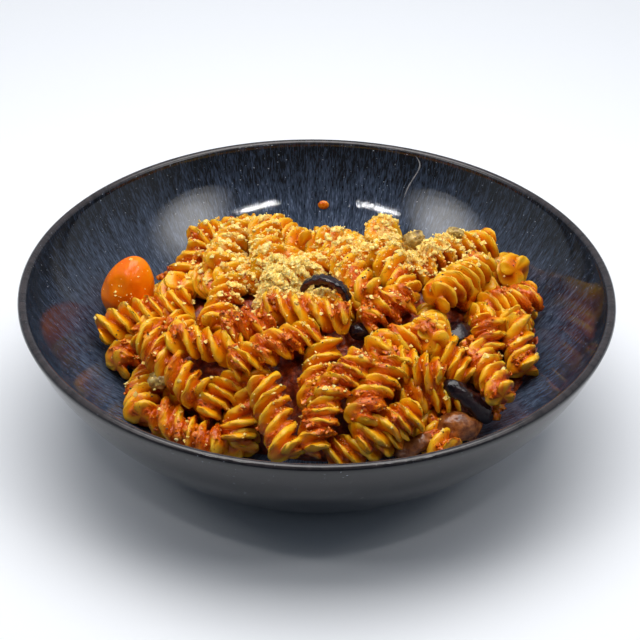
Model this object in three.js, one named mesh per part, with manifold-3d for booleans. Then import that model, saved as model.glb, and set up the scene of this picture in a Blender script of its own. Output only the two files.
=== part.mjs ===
// Bowl of pasta puttanesca: a glazed stoneware pasta bowl with a heap of fusilli in tomato sauce,
// and on the heap olives, capers, half a cherry tomato and grated parmesan.
// Millimetres, +Z up. The origin is the centre of the foot, on the surface that the bowl stands on.
// The eater sits on the -Y side.
import * as THREE from 'three';
import { mergeVertices } from 'three/addons/utils/BufferGeometryUtils.js';
import Module from 'manifold-3d';

const wasm = await Module();
wasm.setup();

// Bowl
const RIM_RADIUS = 110;
const BOWL_HEIGHT = 58;
const LIP_THICKNESS = 3.5;
const FOOT_RADIUS = 64;
const FOOT_WIDTH = 8;
const FOOT_DEPTH = 4;
const FOOT_BEVEL = 1;
const FLOOR_RADIUS = 56;
const FLOOR_HEIGHT = 8;
const WALL_SEGMENTS = 40;
const WALL_STEPS = 6;
const LIP_STEPS = 4;
// Handles of the two wall curves, radius and height: the wall flares from the foot and steepens upwards
const OUTER_LOW_HANDLE = new THREE.Vector2(77.5, 12);
const OUTER_HIGH_HANDLE = new THREE.Vector2(102, 31.5);
const INNER_LOW_HANDLE = new THREE.Vector2(72.6, 8);
const INNER_HIGH_HANDLE = new THREE.Vector2(99.3, 38.2);
const GLAZE_COLOR = 0x2a2e38;

// Heap of pasta
const HEAP_CENTRE = new THREE.Vector2(4, 12);
const HEAP_REACH_RIGHT = 86;
const HEAP_REACH_LEFT = 80;
const HEAP_REACH_FRONT = 58;
const HEAP_REACH_BACK = 64;
const HEAP_BASE = 8;
const HEAP_RISE = 41;
const HEAP_CORNER_POWER = 1.8;
const HEAP_SHOULDER_POWER = 2.6;
const HEAP_SLOPE_POWER = 0.7;
const HEAP_RAYS = 30;
const HEAP_RINGS = 6;
const PASTA_COLOR = 0xd6861c;

// Hollows in the heap, where olives lie: centre x, y, radius, depth
const HEAP_HOLLOWS = [
  [56, -34, 13, 9],
  [16, -10, 9, 6],
  [54, 0, 10, 7],
];

// One fusillo: three ridges twisted to the right round a thin core
const FUSILLO_RADIUS = 6.8;
const FUSILLO_CORE_RADIUS = 2.9;
const FUSILLO_RIDGES = 3;
const FUSILLO_PITCH = 16;
const TWIST_STEP = THREE.MathUtils.degToRad(60);
const ROLL_STEP = 2.4;

// Gap between pieces that touch
const GAP = 0.35;

// Corners this close are one corner
const SAME_POINT = 1e-4;
const PLACE_DIGITS = 4;
const PARTING_STEP = 0.01;

// Constants of the generator behind every draw
const DRAW_FACTOR = 1664525;
const DRAW_STEP = 1013904223;
const DRAW_RANGE = 2 ** 32;

// Thinning of the joined heap: the joints between pieces leave slivers, which are taken out
const HEAP_TRIANGLES = 8800;
const FIRST_TOLERANCE = 0.05;
const TOLERANCE_GROWTH = 1.12;
const MIN_DOUBLE_AREA = 0.02;
const MIN_TURN_COSINE = 0.2;

// Fusilli that show from the front: centre x, y, z, turn from +X, tip above level, length
const FRONT_FUSILLI = [
  [-65, 10, 35, 10, 15, 37],
  [-67, 5, 24, 55, 0, 28],
  [-53, -19, 34, -50, -15, 36],
  [-41, -16, 41, -10, -5, 28],
  [-62.5, -17.5, 21, 85, 0, 32],
  [-45, -38, 18, -35, -5, 31],
  [-31, -27, 29, 35, 20, 30],
  [-26, -34, 27, 65, 40, 30],
  [-14, -46, 31, -70, -25, 32],
  [-15, -23, 44, 25, 10, 35],
  [-4, -9, 52, -15, 0, 33],
  [-35, 11, 45, 75, 15, 34],
  [-34, 33, 52, 70, 5, 28],
  [-37, 51, 46, 15, 5, 28],
  [-50, 37, 40, 45, 35, 22],
  [-20, 30, 54, -85, -5, 27],
  [-13, 44, 51, 125, -5, 22],
  [12, 18, 55, -65, -5, 40],
  [26, 52, 48, 85, -35, 26],
  [55, 37, 50, 35, -10, 32],
  [54, 17, 49, 55, -5, 34],
  [73, 19, 38, 35, -10, 26],
  [72.5, 42.5, 39, 115, -25, 22],
  [64, -5, 33, -95, -30, 26],
  [63, -19, 33, 110, 5, 30],
  [76, 0, 33, -80, -25, 26],
  [32, -17, 44, 30, 0, 30],
  [23, -38, 36, -120, -15, 32],
  [10, -36, 40, -135, -20, 24],
  [1, -48, 30, -110, -30, 24],
  [33, -25, 39, -20, -10, 28],
  [26, -47, 28, 25, 10, 26],
  [18, -48, 22, 15, 15, 30],
  [47, -16, 38, -50, -25, 26],
  [42, -4, 41, 90, -20, 30],
  [29, 17, 53, -70, -10, 28],
  [41, -29, 28, 10, -10, 24],
  [26, -3, 48, 35, 10, 22],
  [-25, -11, 45, 5, 5, 20],
  [-6, 17, 51, 35, 0, 30],
  [-52, 7, 36, -70, 0, 26],
  [2, -28, 37, 80, 25, 28],
];

// Fusilli at the back, laid by a rule: two courses round the slope of the heap
const BACK_COURSES = [
  { count: 4, reach: 0.6, lift: 2 },
  { count: 6, reach: 0.86, lift: 3 },
];
const BACK_FROM = THREE.MathUtils.degToRad(8);
const BACK_TO = THREE.MathUtils.degToRad(168);
const BACK_LENGTH = 30;
const BACK_LENGTH_SPREAD = 6;
const BACK_TURN_SPREAD = THREE.MathUtils.degToRad(60);
const SLOPE_STEP_SHARE = 1 / 3;
const BACK_CLEARANCE = 9;
const BACK_SEED = 11;

// Grated parmesan: patches of flakes, each centre x, y, radius along x and y, number of flakes
const CHEESE_PATCHES = [
  [-12, 10, 16, 12, 12],
  [42, 30, 18, 10, 5],
  [0, 6, 60, 45, 5],
];
const FLAKE_SIZE = 2.6;
const FLAKE_SPREAD = 0.3;
const FLAKE_STRETCH = 0.3;
const FLAKE_HEIGHT_SHARE = 0.45;
const FLAKE_TOP_SHARE = 0.65;
const FLAKE_CORNERS = 5;
const FLAKE_SEED = 5;

// Toppings
const BLACK_OLIVE_COLOR = 0x241a1c;
const BROWN_OLIVE_COLOR = 0x7a3a26;
const CAPER_COLOR = 0x8a7440;
const TOMATO_COLOR = 0xe0560c;
const FRUIT_STEPS = 4;
const FRUIT_SEGMENTS = 14;
const CUT_FACE_HOLLOW_SHARE = 0.55;
const CUT_FACE_RIM_SHARE = 0.8;
const WEDGE_STEPS = 8;
const WEDGE_SKIN_STEPS = 4;
const WEDGE_TAPER = 0.8;
const WEDGE_SKIN_SHARE = 0.7;
const SLICE_STEPS = 12;
const SLICE_CROWN = 1.3;
const CAPER_SEGMENTS = 9;
const CAPER_RINGS = 6;
const CAPER_TIP = 1;
const CAPER_HEIGHT_SHARE = 0.83;

// A linear congruential generator, so that every build gives the same draws from 0 to 1
function seededDraws(seed) {
  let state = seed;
  return () => {
    state = (state * DRAW_FACTOR + DRAW_STEP) % DRAW_RANGE;
    return state / DRAW_RANGE;
  };
}

// Closed body over a row of rings with the same number of points, capped at both ends
function bodyOverRings(rings) {
  const sides = rings[0].length;
  const points = rings.flat();
  const index = [];
  for (let ring = 0; ring < rings.length - 1; ring += 1) {
    for (let side = 0; side < sides; side += 1) {
      const next = (side + 1) % sides;
      const a = ring * sides + side;
      const b = ring * sides + next;
      index.push(a, b, a + sides, b, b + sides, a + sides);
    }
  }
  const last = rings.length - 1;
  for (const [ring, flip] of [[0, true], [last, false]]) {
    const middle = new THREE.Vector3();
    rings[ring].forEach((point) => middle.add(point));
    points.push(middle.divideScalar(sides));
    for (let side = 0; side < sides; side += 1) {
      const a = ring * sides + side;
      const b = ring * sides + ((side + 1) % sides);
      index.push(points.length - 1, flip ? b : a, flip ? a : b);
    }
  }
  const geometry = new THREE.BufferGeometry().setFromPoints(points);
  geometry.setIndex(index);
  return geometry;
}

function toSolid(geometry) {
  const bare = geometry.clone();
  bare.deleteAttribute('normal');
  bare.deleteAttribute('uv');
  const merged = mergeVertices(bare, SAME_POINT);
  const corners = merged.index.array;
  const kept = [];
  for (let i = 0; i < corners.length; i += 3) {
    const [a, b, c] = corners.slice(i, i + 3);
    if (a !== b && b !== c && c !== a) kept.push(a, b, c);
  }
  return new wasm.Manifold(new wasm.Mesh({
    numProp: 3,
    vertProperties: new Float32Array(merged.attributes.position.array),
    triVerts: new Uint32Array(kept),
  }));
}

// The largest closed shell of a solid: hollows sealed inside it are filled and loose scraps dropped
function largestShell(solid) {
  const mesh = solid.getMesh();
  const corners = mesh.triVerts;
  const group = Array.from({ length: mesh.vertProperties.length / 3 }, (_, i) => i);
  const root = (vertex) => {
    let top = vertex;
    while (group[top] !== top) top = group[top];
    while (group[vertex] !== top) [vertex, group[vertex]] = [group[vertex], top];
    return top;
  };
  for (let i = 0; i < corners.length; i += 3) {
    group[root(corners[i + 1])] = root(corners[i]);
    group[root(corners[i + 2])] = root(corners[i]);
  }
  const point = (vertex) => new THREE.Vector3().fromArray(mesh.vertProperties, vertex * 3);
  const volumes = new Map();
  for (let i = 0; i < corners.length; i += 3) {
    const [a, b, c] = [0, 1, 2].map((k) => point(corners[i + k]));
    const shell = root(corners[i]);
    volumes.set(shell, (volumes.get(shell) ?? 0) + a.dot(b.cross(c)) / 6);
  }
  const [largest] = [...volumes].sort((p, q) => q[1] - p[1])[0];
  const kept = [];
  for (let i = 0; i < corners.length; i += 3) {
    if (root(corners[i]) === largest) kept.push(corners[i], corners[i + 1], corners[i + 2]);
  }
  const geometry = new THREE.BufferGeometry();
  geometry.setAttribute('position', new THREE.BufferAttribute(mesh.vertProperties, 3));
  geometry.setIndex(kept);
  return parted(geometry);
}

// Where a shell touches itself, several of its vertices lie at one point. Each is moved a hair
// towards the vertices round it, so that the surface no longer meets itself there.
function parted(geometry) {
  const position = geometry.attributes.position;
  const corners = geometry.index.array;
  const around = new Map();
  corners.forEach((vertex, i) => {
    if (!around.has(vertex)) around.set(vertex, []);
    const face = i - (i % 3);
    around.get(vertex).push(...corners.slice(face, face + 3));
  });
  const point = (vertex) => new THREE.Vector3().fromBufferAttribute(position, vertex);
  const place = (vertex) => point(vertex).toArray().map((value) => value.toFixed(PLACE_DIGITS)).join();
  const verticesAt = new Map();
  around.forEach((_, vertex) => verticesAt.set(place(vertex), (verticesAt.get(place(vertex)) ?? 0) + 1));
  const moved = [...around.keys()].filter((vertex) => verticesAt.get(place(vertex)) > 1).map((vertex) => {
    const middle = new THREE.Vector3();
    around.get(vertex).forEach((near) => middle.add(point(near)));
    middle.divideScalar(around.get(vertex).length);
    const step = middle.sub(point(vertex)).setLength(PARTING_STEP);
    return [vertex, point(vertex).add(step)];
  });
  moved.forEach(([vertex, { x, y, z }]) => position.setXYZ(vertex, x, y, z));
  return geometry;
}

// Fewer triangles on a closed shell. A vertex is drawn onto a neighbour where the faces round it
// would shift by less than the tolerance, none would turn over, and the shell stays closed. The
// tolerance grows from pass to pass until few enough triangles are left.
function simplified(geometry, triangleLimit) {
  const corners = Array.from(geometry.index.array);
  const spots = [];
  const used = geometry.attributes.position;
  for (let i = 0; i < used.count; i += 1) {
    spots.push(new THREE.Vector3().fromBufferAttribute(used, i));
  }
  const facesAt = spots.map(() => new Set());
  corners.forEach((vertex, i) => facesAt[vertex].add(Math.floor(i / 3)));
  const cornersOf = (face) => corners.slice(face * 3, face * 3 + 3);
  const normalOf = (face, from, to) => {
    const [a, b, c] = cornersOf(face).map((vertex) => spots[vertex === from ? to : vertex]);
    return new THREE.Vector3().subVectors(b, a).cross(new THREE.Vector3().subVectors(c, a));
  };
  const neighbours = (vertex) => {
    const found = new Set();
    facesAt[vertex].forEach((face) => cornersOf(face).forEach((corner) => found.add(corner)));
    found.delete(vertex);
    return found;
  };
  const fits = (from, to, tolerance) => {
    const shift = new THREE.Vector3().subVectors(spots[to], spots[from]);
    for (const face of facesAt[from]) {
      const before = normalOf(face);
      const size = before.length();
      if (size > 0 && Math.abs(before.dot(shift)) / size > tolerance) return false;
      if (!facesAt[to].has(face)) {
        const after = normalOf(face, from, to);
        if (after.length() < MIN_DOUBLE_AREA) return false;
        if (size > 0 && after.dot(before) < MIN_TURN_COSINE * after.length() * size) return false;
      }
    }
    const around = neighbours(to);
    return [...neighbours(from)].filter((vertex) => around.has(vertex)).length === 2;
  };
  const drawOnto = (from, to) => {
    for (const face of [...facesAt[from]]) {
      if (facesAt[to].has(face)) {
        cornersOf(face).forEach((vertex) => facesAt[vertex].delete(face));
      } else {
        const slot = face * 3 + cornersOf(face).indexOf(from);
        corners[slot] = to;
        facesAt[to].add(face);
      }
    }
    facesAt[from].clear();
  };
  const countFaces = () => new Set(facesAt.flatMap((faces) => [...faces])).size;
  for (let tolerance = FIRST_TOLERANCE; countFaces() > triangleLimit; tolerance *= TOLERANCE_GROWTH) {
    for (let from = 0; from < spots.length; from += 1) {
      const gapTo = (vertex) => spots[vertex].distanceTo(spots[from]);
      const near = [...neighbours(from)].sort((p, q) => gapTo(p) - gapTo(q));
      const to = near.find((vertex) => fits(from, vertex, tolerance));
      if (to !== undefined) drawOnto(from, to);
    }
  }
  const left = [...new Set(facesAt.flatMap((faces) => [...faces]))].flatMap(cornersOf);
  const result = new THREE.BufferGeometry();
  result.setAttribute('position', used);
  result.setIndex(left);
  return result;
}

function namedMesh(name, geometry, color, roughness) {
  geometry.computeVertexNormals();
  const material = new THREE.MeshStandardMaterial({ color, roughness, metalness: 0 });
  const mesh = new THREE.Mesh(geometry, material);
  mesh.name = name;
  return mesh;
}

// Points on an arc of an ellipse in the outline's plane, radius along x and height along y
function arcPoints(centreR, centreH, radiusR, radiusH, from, to, steps) {
  return Array.from({ length: steps + 1 }, (_, i) => {
    const angle = from + ((to - from) * i) / steps;
    return new THREE.Vector2(centreR + radiusR * Math.cos(angle), centreH + radiusH * Math.sin(angle));
  });
}

function turned(outline) {
  return new THREE.LatheGeometry(outline, WALL_SEGMENTS).rotateX(Math.PI / 2);
}

// Inner wall and floor, from the lip down to the axis, moved inwards and up by an offset
function innerOutline(offset) {
  const top = new THREE.Vector2(RIM_RADIUS - LIP_THICKNESS, BOWL_HEIGHT - LIP_THICKNESS / 2);
  const floorEdge = new THREE.Vector2(FLOOR_RADIUS, FLOOR_HEIGHT);
  const shift = new THREE.Vector2(-offset, offset);
  const [start, high, low, end] = [top, INNER_HIGH_HANDLE, INNER_LOW_HANDLE, floorEdge]
    .map((point) => point.clone().add(shift));
  return [
    ...new THREE.CubicBezierCurve(start, high, low, end).getPoints(WALL_STEPS),
    new THREE.Vector2(0, FLOOR_HEIGHT + offset),
  ];
}

// Thrown stoneware: foot ring with a recess under the floor, flared wall and rolled lip
function bowlGeometry() {
  const lipHeight = BOWL_HEIGHT - LIP_THICKNESS / 2;
  const lipCentre = RIM_RADIUS - LIP_THICKNESS / 2;
  const foot = [
    new THREE.Vector2(0, FOOT_DEPTH),
    new THREE.Vector2(FOOT_RADIUS - FOOT_WIDTH, FOOT_DEPTH),
    new THREE.Vector2(FOOT_RADIUS - FOOT_WIDTH + FOOT_BEVEL, 0),
    new THREE.Vector2(FOOT_RADIUS - FOOT_BEVEL, 0),
  ];
  const wallStart = new THREE.Vector2(FOOT_RADIUS, FOOT_BEVEL);
  const wallEnd = new THREE.Vector2(RIM_RADIUS, lipHeight);
  const wall = new THREE.CubicBezierCurve(wallStart, OUTER_LOW_HANDLE, OUTER_HIGH_HANDLE, wallEnd);
  const lipRadius = LIP_THICKNESS / 2;
  const lip = arcPoints(lipCentre, lipHeight, lipRadius, lipRadius, 0, Math.PI, LIP_STEPS);
  return turned([...foot, ...wall.getPoints(WALL_STEPS), ...lip.slice(1, -1), ...innerOutline(0)]);
}

// The space inside the bowl, kept clear of its wall by the gap
function bowlInside() {
  const top = new THREE.Vector2(RIM_RADIUS - LIP_THICKNESS - GAP, BOWL_HEIGHT * 2);
  const outline = [new THREE.Vector2(0, BOWL_HEIGHT * 2), top, ...innerOutline(GAP)];
  return toSolid(turned(outline.reverse()));
}

// Height of the sauced mass under the pieces that show: a dome on a rounded-diamond footprint
function heapHeight(x, y) {
  const dx = x - HEAP_CENTRE.x;
  const dy = y - HEAP_CENTRE.y;
  const across = Math.abs(dx) / (dx > 0 ? HEAP_REACH_RIGHT : HEAP_REACH_LEFT);
  const along = Math.abs(dy) / (dy > 0 ? HEAP_REACH_BACK : HEAP_REACH_FRONT);
  const reach = (across ** HEAP_CORNER_POWER + along ** HEAP_CORNER_POWER) ** (1 / HEAP_CORNER_POWER);
  const dome = Math.max(0, 1 - reach ** HEAP_SHOULDER_POWER) ** HEAP_SLOPE_POWER;
  let height = HEAP_BASE + HEAP_RISE * dome;
  for (const [hx, hy, radius, depth] of HEAP_HOLLOWS) {
    height -= depth * Math.exp(-((x - hx) ** 2 + (y - hy) ** 2) / radius ** 2);
  }
  return Math.max(height, HEAP_BASE);
}

// Point of the footprint at an angle and a share of the way out
function heapPoint(angle, share) {
  const cos = Math.cos(angle);
  const sin = Math.sin(angle);
  const across = Math.abs(cos) / (cos > 0 ? HEAP_REACH_RIGHT : HEAP_REACH_LEFT);
  const along = Math.abs(sin) / (sin > 0 ? HEAP_REACH_BACK : HEAP_REACH_FRONT);
  const edge = (across ** HEAP_CORNER_POWER + along ** HEAP_CORNER_POWER) ** (-1 / HEAP_CORNER_POWER);
  return new THREE.Vector2(HEAP_CENTRE.x + cos * edge * share, HEAP_CENTRE.y + sin * edge * share);
}

function heapCore() {
  const rings = [];
  for (let ring = HEAP_RINGS; ring >= 1; ring -= 1) {
    rings.push(Array.from({ length: HEAP_RAYS }, (_, ray) => {
      const { x, y } = heapPoint((ray / HEAP_RAYS) * 2 * Math.PI, ring / HEAP_RINGS);
      return new THREE.Vector3(x, y, heapHeight(x, y));
    }));
  }
  const base = rings[0].map(({ x, y }) => new THREE.Vector3(x, y, 0));
  return toSolid(bodyOverRings([base, ...rings]));
}

// Section of a fusillo at an angle of twist: a three-pointed star, one point for each ridge
function fusilloSection(frame, along, twist) {
  const section = [];
  for (let ridge = 0; ridge < FUSILLO_RIDGES; ridge += 1) {
    const middle = twist + (ridge / FUSILLO_RIDGES) * 2 * Math.PI;
    const groove = middle + Math.PI / FUSILLO_RIDGES;
    for (const [angle, radius] of [[middle, FUSILLO_RADIUS], [groove, FUSILLO_CORE_RADIUS]]) {
      section.push(new THREE.Vector3(along, radius * Math.cos(angle), radius * Math.sin(angle))
        .applyMatrix4(frame));
    }
  }
  return section;
}

function fusillo([x, y, z, turn, tip, length], roll) {
  const frame = new THREE.Matrix4()
    .makeRotationZ(THREE.MathUtils.degToRad(turn))
    .multiply(new THREE.Matrix4().makeRotationY(THREE.MathUtils.degToRad(-tip)))
    .setPosition(x, y, z);
  const twist = (length / FUSILLO_PITCH) * 2 * Math.PI;
  const steps = Math.round(twist / TWIST_STEP);
  const rings = [];
  for (let step = 0; step <= steps; step += 1) {
    const share = step / steps;
    rings.push(fusilloSection(frame, (share - 0.5) * length, roll + twist * share));
  }
  return toSolid(bodyOverRings(rings));
}

function wallHeight(x, y) {
  const radius = Math.hypot(x, y);
  const outline = innerOutline(0);
  const below = outline.findIndex((point) => point.x <= radius);
  const [upper, lower] = [outline[below - 1], outline[below]];
  return THREE.MathUtils.mapLinear(radius, lower.x, upper.x, lower.y, upper.y);
}

// Rows for the back of the heap: pieces lie on the slope, each turned a little off the course
function backFusilli() {
  const draw = seededDraws(BACK_SEED);
  const rows = [];
  for (const { count, reach, lift } of BACK_COURSES) {
    for (let i = 0; i < count; i += 1) {
      const angle = BACK_FROM + ((BACK_TO - BACK_FROM) * (i + 0.5)) / count;
      const { x, y } = heapPoint(angle, reach);
      const turn = angle + Math.PI / 2 + (draw() - 0.5) * 2 * BACK_TURN_SPREAD;
      const length = BACK_LENGTH + (draw() - 0.5) * 2 * BACK_LENGTH_SPREAD;
      const stepX = Math.cos(turn) * length * SLOPE_STEP_SHARE;
      const stepY = Math.sin(turn) * length * SLOPE_STEP_SHARE;
      const rise = heapHeight(x + stepX, y + stepY) - heapHeight(x - stepX, y - stepY);
      const tip = Math.atan2(rise, 2 * length * SLOPE_STEP_SHARE);
      const z = Math.max(heapHeight(x, y) + lift, wallHeight(x, y) + BACK_CLEARANCE);
      rows.push([x, y, z, THREE.MathUtils.radToDeg(turn), THREE.MathUtils.radToDeg(tip), length]);
    }
  }
  return rows;
}

// A flake of parmesan: an uneven chip, longer than wide, with a smaller top face. Its foot goes
// down into the piece that it lies on.
function flake(x, y, z, draw) {
  const start = draw() * 2 * Math.PI;
  const size = FLAKE_SIZE * (1 + FLAKE_SPREAD * (2 * draw() - 1));
  const ring = (height, spread) => Array.from({ length: FLAKE_CORNERS }, (_, i) => {
    const angle = start + (i / FLAKE_CORNERS) * 2 * Math.PI;
    const reach = size * spread * (1 + FLAKE_STRETCH * Math.cos(2 * angle + start));
    return new THREE.Vector3(x + reach * Math.cos(angle), y + reach * Math.sin(angle), z + height);
  });
  return toSolid(bodyOverRings([ring(-size, 1), ring(size * FLAKE_HEIGHT_SHARE, FLAKE_TOP_SHARE)]));
}

// Flakes land on whatever is topmost under them
function addCheese(heap) {
  const surface = new THREE.Mesh(largestShell(heap), new THREE.MeshBasicMaterial());
  const caster = new THREE.Raycaster();
  const down = new THREE.Vector3(0, 0, -1);
  const draw = seededDraws(FLAKE_SEED);
  let cheesed = heap;
  for (const [cx, cy, rx, ry, count] of CHEESE_PATCHES) {
    for (let i = 0; i < count; i += 1) {
      const angle = draw() * 2 * Math.PI;
      const reach = Math.sqrt(draw());
      const x = cx + rx * reach * Math.cos(angle);
      const y = cy + ry * reach * Math.sin(angle);
      caster.set(new THREE.Vector3(x, y, BOWL_HEIGHT * 2), down);
      const [hit] = caster.intersectObject(surface);
      if (hit) cheesed = cheesed.add(flake(x, y, hit.point.z, draw));
    }
  }
  return cheesed;
}

// Turns a body from its own axes (x along, z up) to its place in the bowl
function placed(geometry, [x, y, z], turn, tip, lean) {
  geometry.rotateX(THREE.MathUtils.degToRad(lean));
  geometry.rotateY(THREE.MathUtils.degToRad(-tip));
  geometry.rotateZ(THREE.MathUtils.degToRad(turn));
  return geometry.translate(x, y, z);
}

// Half of an egg-shaped fruit, cut along its length: skin up, cut face down and hollowed a little.
// The grown one that clears room for it has a flat cut face.
function halfFruit(length, width, height, hollow, grow) {
  const underside = grow > 0 ? -grow : hollow;
  const skin = arcPoints(0, -grow, 1, height + 2 * grow, 0, Math.PI / 2, FRUIT_STEPS);
  skin[FRUIT_STEPS].x = 0;
  const outline = [
    new THREE.Vector2(0, underside),
    new THREE.Vector2(CUT_FACE_HOLLOW_SHARE, underside),
    new THREE.Vector2(CUT_FACE_RIM_SHARE, -grow),
    ...skin,
  ];
  const geometry = new THREE.LatheGeometry(outline, FRUIT_SEGMENTS).rotateX(Math.PI / 2);
  return geometry.scale(length / 2 + grow, width / 2 + grow, 1);
}

// Wedge or strip cut from an olive: a crescent section carried along the length, tapered at the ends
function oliveWedge(length, width, thickness, grow) {
  const skinRise = thickness * WEDGE_SKIN_SHARE + grow;
  const fleshDrop = thickness * (1 - WEDGE_SKIN_SHARE) + grow;
  const rings = [];
  for (let step = 0; step <= WEDGE_STEPS; step += 1) {
    const share = -1 + (2 * step) / WEDGE_STEPS;
    const along = share * (length / 2 + grow);
    const taper = Math.sqrt(1 - WEDGE_TAPER * share ** 4);
    const ring = [];
    for (let i = 0; i <= WEDGE_SKIN_STEPS; i += 1) {
      const angle = (Math.PI * i) / WEDGE_SKIN_STEPS;
      const across = Math.cos(angle) * (width / 2 + grow) * taper;
      ring.push(new THREE.Vector3(along, across, Math.sin(angle) * skinRise * taper));
    }
    ring.push(new THREE.Vector3(along, 0, -fleshDrop * taper));
    rings.push(ring);
  }
  return bodyOverRings(rings);
}

// Part of a ring sliced across a pitted olive, standing up: radius, wall and slice in millimetres
function oliveArc(radius, wall, slice, from, to, grow) {
  const section = [[-1, 1], [0, SLICE_CROWN], [1, 1], [1, -1], [-1, -1]];
  const rings = [];
  for (let step = 0; step <= SLICE_STEPS; step += 1) {
    const angle = from + ((to - from) * step) / SLICE_STEPS;
    rings.push(section.map(([side, out]) => {
      const reach = radius - wall / 2 + out * (wall / 2 + grow);
      const across = side * (slice / 2 + grow);
      return new THREE.Vector3(reach * Math.cos(angle), across, reach * Math.sin(angle));
    }));
  }
  return bodyOverRings(rings);
}

// Pickled flower bud: longer than wide, and a little flattened
function caper(size, grow) {
  const bud = new THREE.SphereGeometry(1, CAPER_SEGMENTS, CAPER_RINGS);
  const half = size / 2;
  return bud.scale(half + CAPER_TIP + grow, half + grow, half * CAPER_HEIGHT_SHARE + grow);
}

const toppings = [
  {
    name: 'tomato_half',
    color: TOMATO_COLOR,
    roughness: 0.3,
    shape: (grow) => placed(halfFruit(28, 20, 9, 1, grow), [-72.6, 27.6, 37.5], 5, 76, 90),
  },
  {
    name: 'olive_ring_slice',
    color: BLACK_OLIVE_COLOR,
    roughness: 0.25,
    shape: (grow) => placed(oliveArc(10.5, 3, 3.6, 0.25, 2.9, grow), [3, -0.5, 50.5], -20, 0, -4),
  },
  {
    name: 'olive_strip_black',
    color: BLACK_OLIVE_COLOR,
    roughness: 0.25,
    shape: (grow) => placed(oliveWedge(24, 7.5, 5.5, grow), [56, -31, 28], -6, -42, 20),
  },
  {
    name: 'olive_half_brown',
    color: BROWN_OLIVE_COLOR,
    roughness: 0.25,
    shape: (grow) => placed(halfFruit(18, 12, 7.5, 1.5, grow), [52, -35, 18], 13, -18, 12),
  },
  {
    name: 'olive_wedge_brown',
    color: BROWN_OLIVE_COLOR,
    roughness: 0.25,
    shape: (grow) => placed(oliveWedge(16, 6.5, 4, grow), [36, -45.5, 18], 20, 14, 50),
  },
  {
    name: 'olive_half_black',
    color: BLACK_OLIVE_COLOR,
    roughness: 0.25,
    shape: (grow) => placed(halfFruit(15, 12, 6, 1.5, grow), [53, -1, 35], 70, -10, 10),
  },
  {
    name: 'olive_piece_black',
    color: BLACK_OLIVE_COLOR,
    roughness: 0.25,
    shape: (grow) => placed(oliveWedge(11, 7, 5, grow), [17, -9, 43], 10, -10, 30),
  },
  {
    name: 'caper_back',
    color: CAPER_COLOR,
    roughness: 0.5,
    shape: (grow) => placed(caper(6.6, grow), [37, 41, 52.5], 20, 10, 0),
  },
  {
    name: 'caper_right',
    color: CAPER_COLOR,
    roughness: 0.5,
    shape: (grow) => placed(caper(4.6, grow), [53, 38, 57.5], -20, 0, 0),
  },
  {
    name: 'caper_left',
    color: CAPER_COLOR,
    roughness: 0.5,
    shape: (grow) => placed(caper(6.6, grow), [-58, -24, 30], -35, 10, 0),
  },
];

// The heap is joined from its core and pieces, then trimmed clear of the bowl and of each topping
function pastaGeometry() {
  let heap = heapCore();
  [...FRONT_FUSILLI, ...backFusilli()].forEach((row, i) => {
    heap = heap.add(fusillo(row, i * ROLL_STEP));
  });
  heap = toSolid(simplified(largestShell(heap.intersect(bowlInside())), HEAP_TRIANGLES));
  heap = addCheese(heap);
  for (const { shape } of toppings) {
    heap = heap.subtract(toSolid(shape(GAP)));
  }
  return largestShell(heap);
}

const bowlOfPasta = new THREE.Group();
bowlOfPasta.add(namedMesh('bowl', bowlGeometry(), GLAZE_COLOR, 0.25));
bowlOfPasta.add(namedMesh('pasta', pastaGeometry(), PASTA_COLOR, 0.45));
for (const { name, color, roughness, shape } of toppings) {
  bowlOfPasta.add(namedMesh(name, shape(0), color, roughness));
}

export default bowlOfPasta;
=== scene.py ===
import bpy
import numpy as np
from mathutils import Matrix, Vector


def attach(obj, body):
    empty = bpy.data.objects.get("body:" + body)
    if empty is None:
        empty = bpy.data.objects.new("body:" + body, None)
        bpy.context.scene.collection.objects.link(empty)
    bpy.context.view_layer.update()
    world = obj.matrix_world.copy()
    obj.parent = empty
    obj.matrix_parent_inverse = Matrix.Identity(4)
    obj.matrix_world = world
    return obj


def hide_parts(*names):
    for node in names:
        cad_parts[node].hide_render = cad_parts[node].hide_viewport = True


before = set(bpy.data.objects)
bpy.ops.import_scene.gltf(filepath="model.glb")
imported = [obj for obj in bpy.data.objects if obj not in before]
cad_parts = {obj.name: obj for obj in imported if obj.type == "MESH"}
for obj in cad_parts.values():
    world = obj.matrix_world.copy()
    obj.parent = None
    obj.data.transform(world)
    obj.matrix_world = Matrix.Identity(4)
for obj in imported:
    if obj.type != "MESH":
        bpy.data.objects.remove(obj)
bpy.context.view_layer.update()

# Camera
# The bowl is seen from the eater's side, 34 degrees above the table and from 0.75 m away, through a
# long lens. The picture leans a little under one degree.
CAMERA_ELEVATION = np.radians(34.19)
CAMERA_ROLL = np.radians(0.81)
CAMERA_AIM = np.array([0.00124, -0.02396, 0.058])
CAMERA_DISTANCE = 0.75
CAMERA_LENS = 117.2
CAMERA_FILM = 36

camera_forward = np.array([0, np.cos(CAMERA_ELEVATION), -np.sin(CAMERA_ELEVATION)])
level_right = np.array([1, 0, 0])
level_up = np.cross(level_right, camera_forward)
camera_right = level_right * np.cos(CAMERA_ROLL) + level_up * np.sin(CAMERA_ROLL)
camera_up = level_up * np.cos(CAMERA_ROLL) - level_right * np.sin(CAMERA_ROLL)
camera_place = CAMERA_AIM - camera_forward * CAMERA_DISTANCE
camera_data = bpy.data.cameras.new("camera")
camera_data.sensor_width = CAMERA_FILM
camera_data.lens = CAMERA_LENS
camera = bpy.data.objects.new("camera", camera_data)
camera_sides = np.column_stack([camera_right, camera_up, -camera_forward, camera_place])
camera.matrix_world = Matrix([*camera_sides.tolist(), [0, 0, 0, 1]])
bpy.context.collection.objects.link(camera)
bpy.context.scene.camera = camera
bpy.context.scene.view_settings.view_transform = "Standard"


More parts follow.
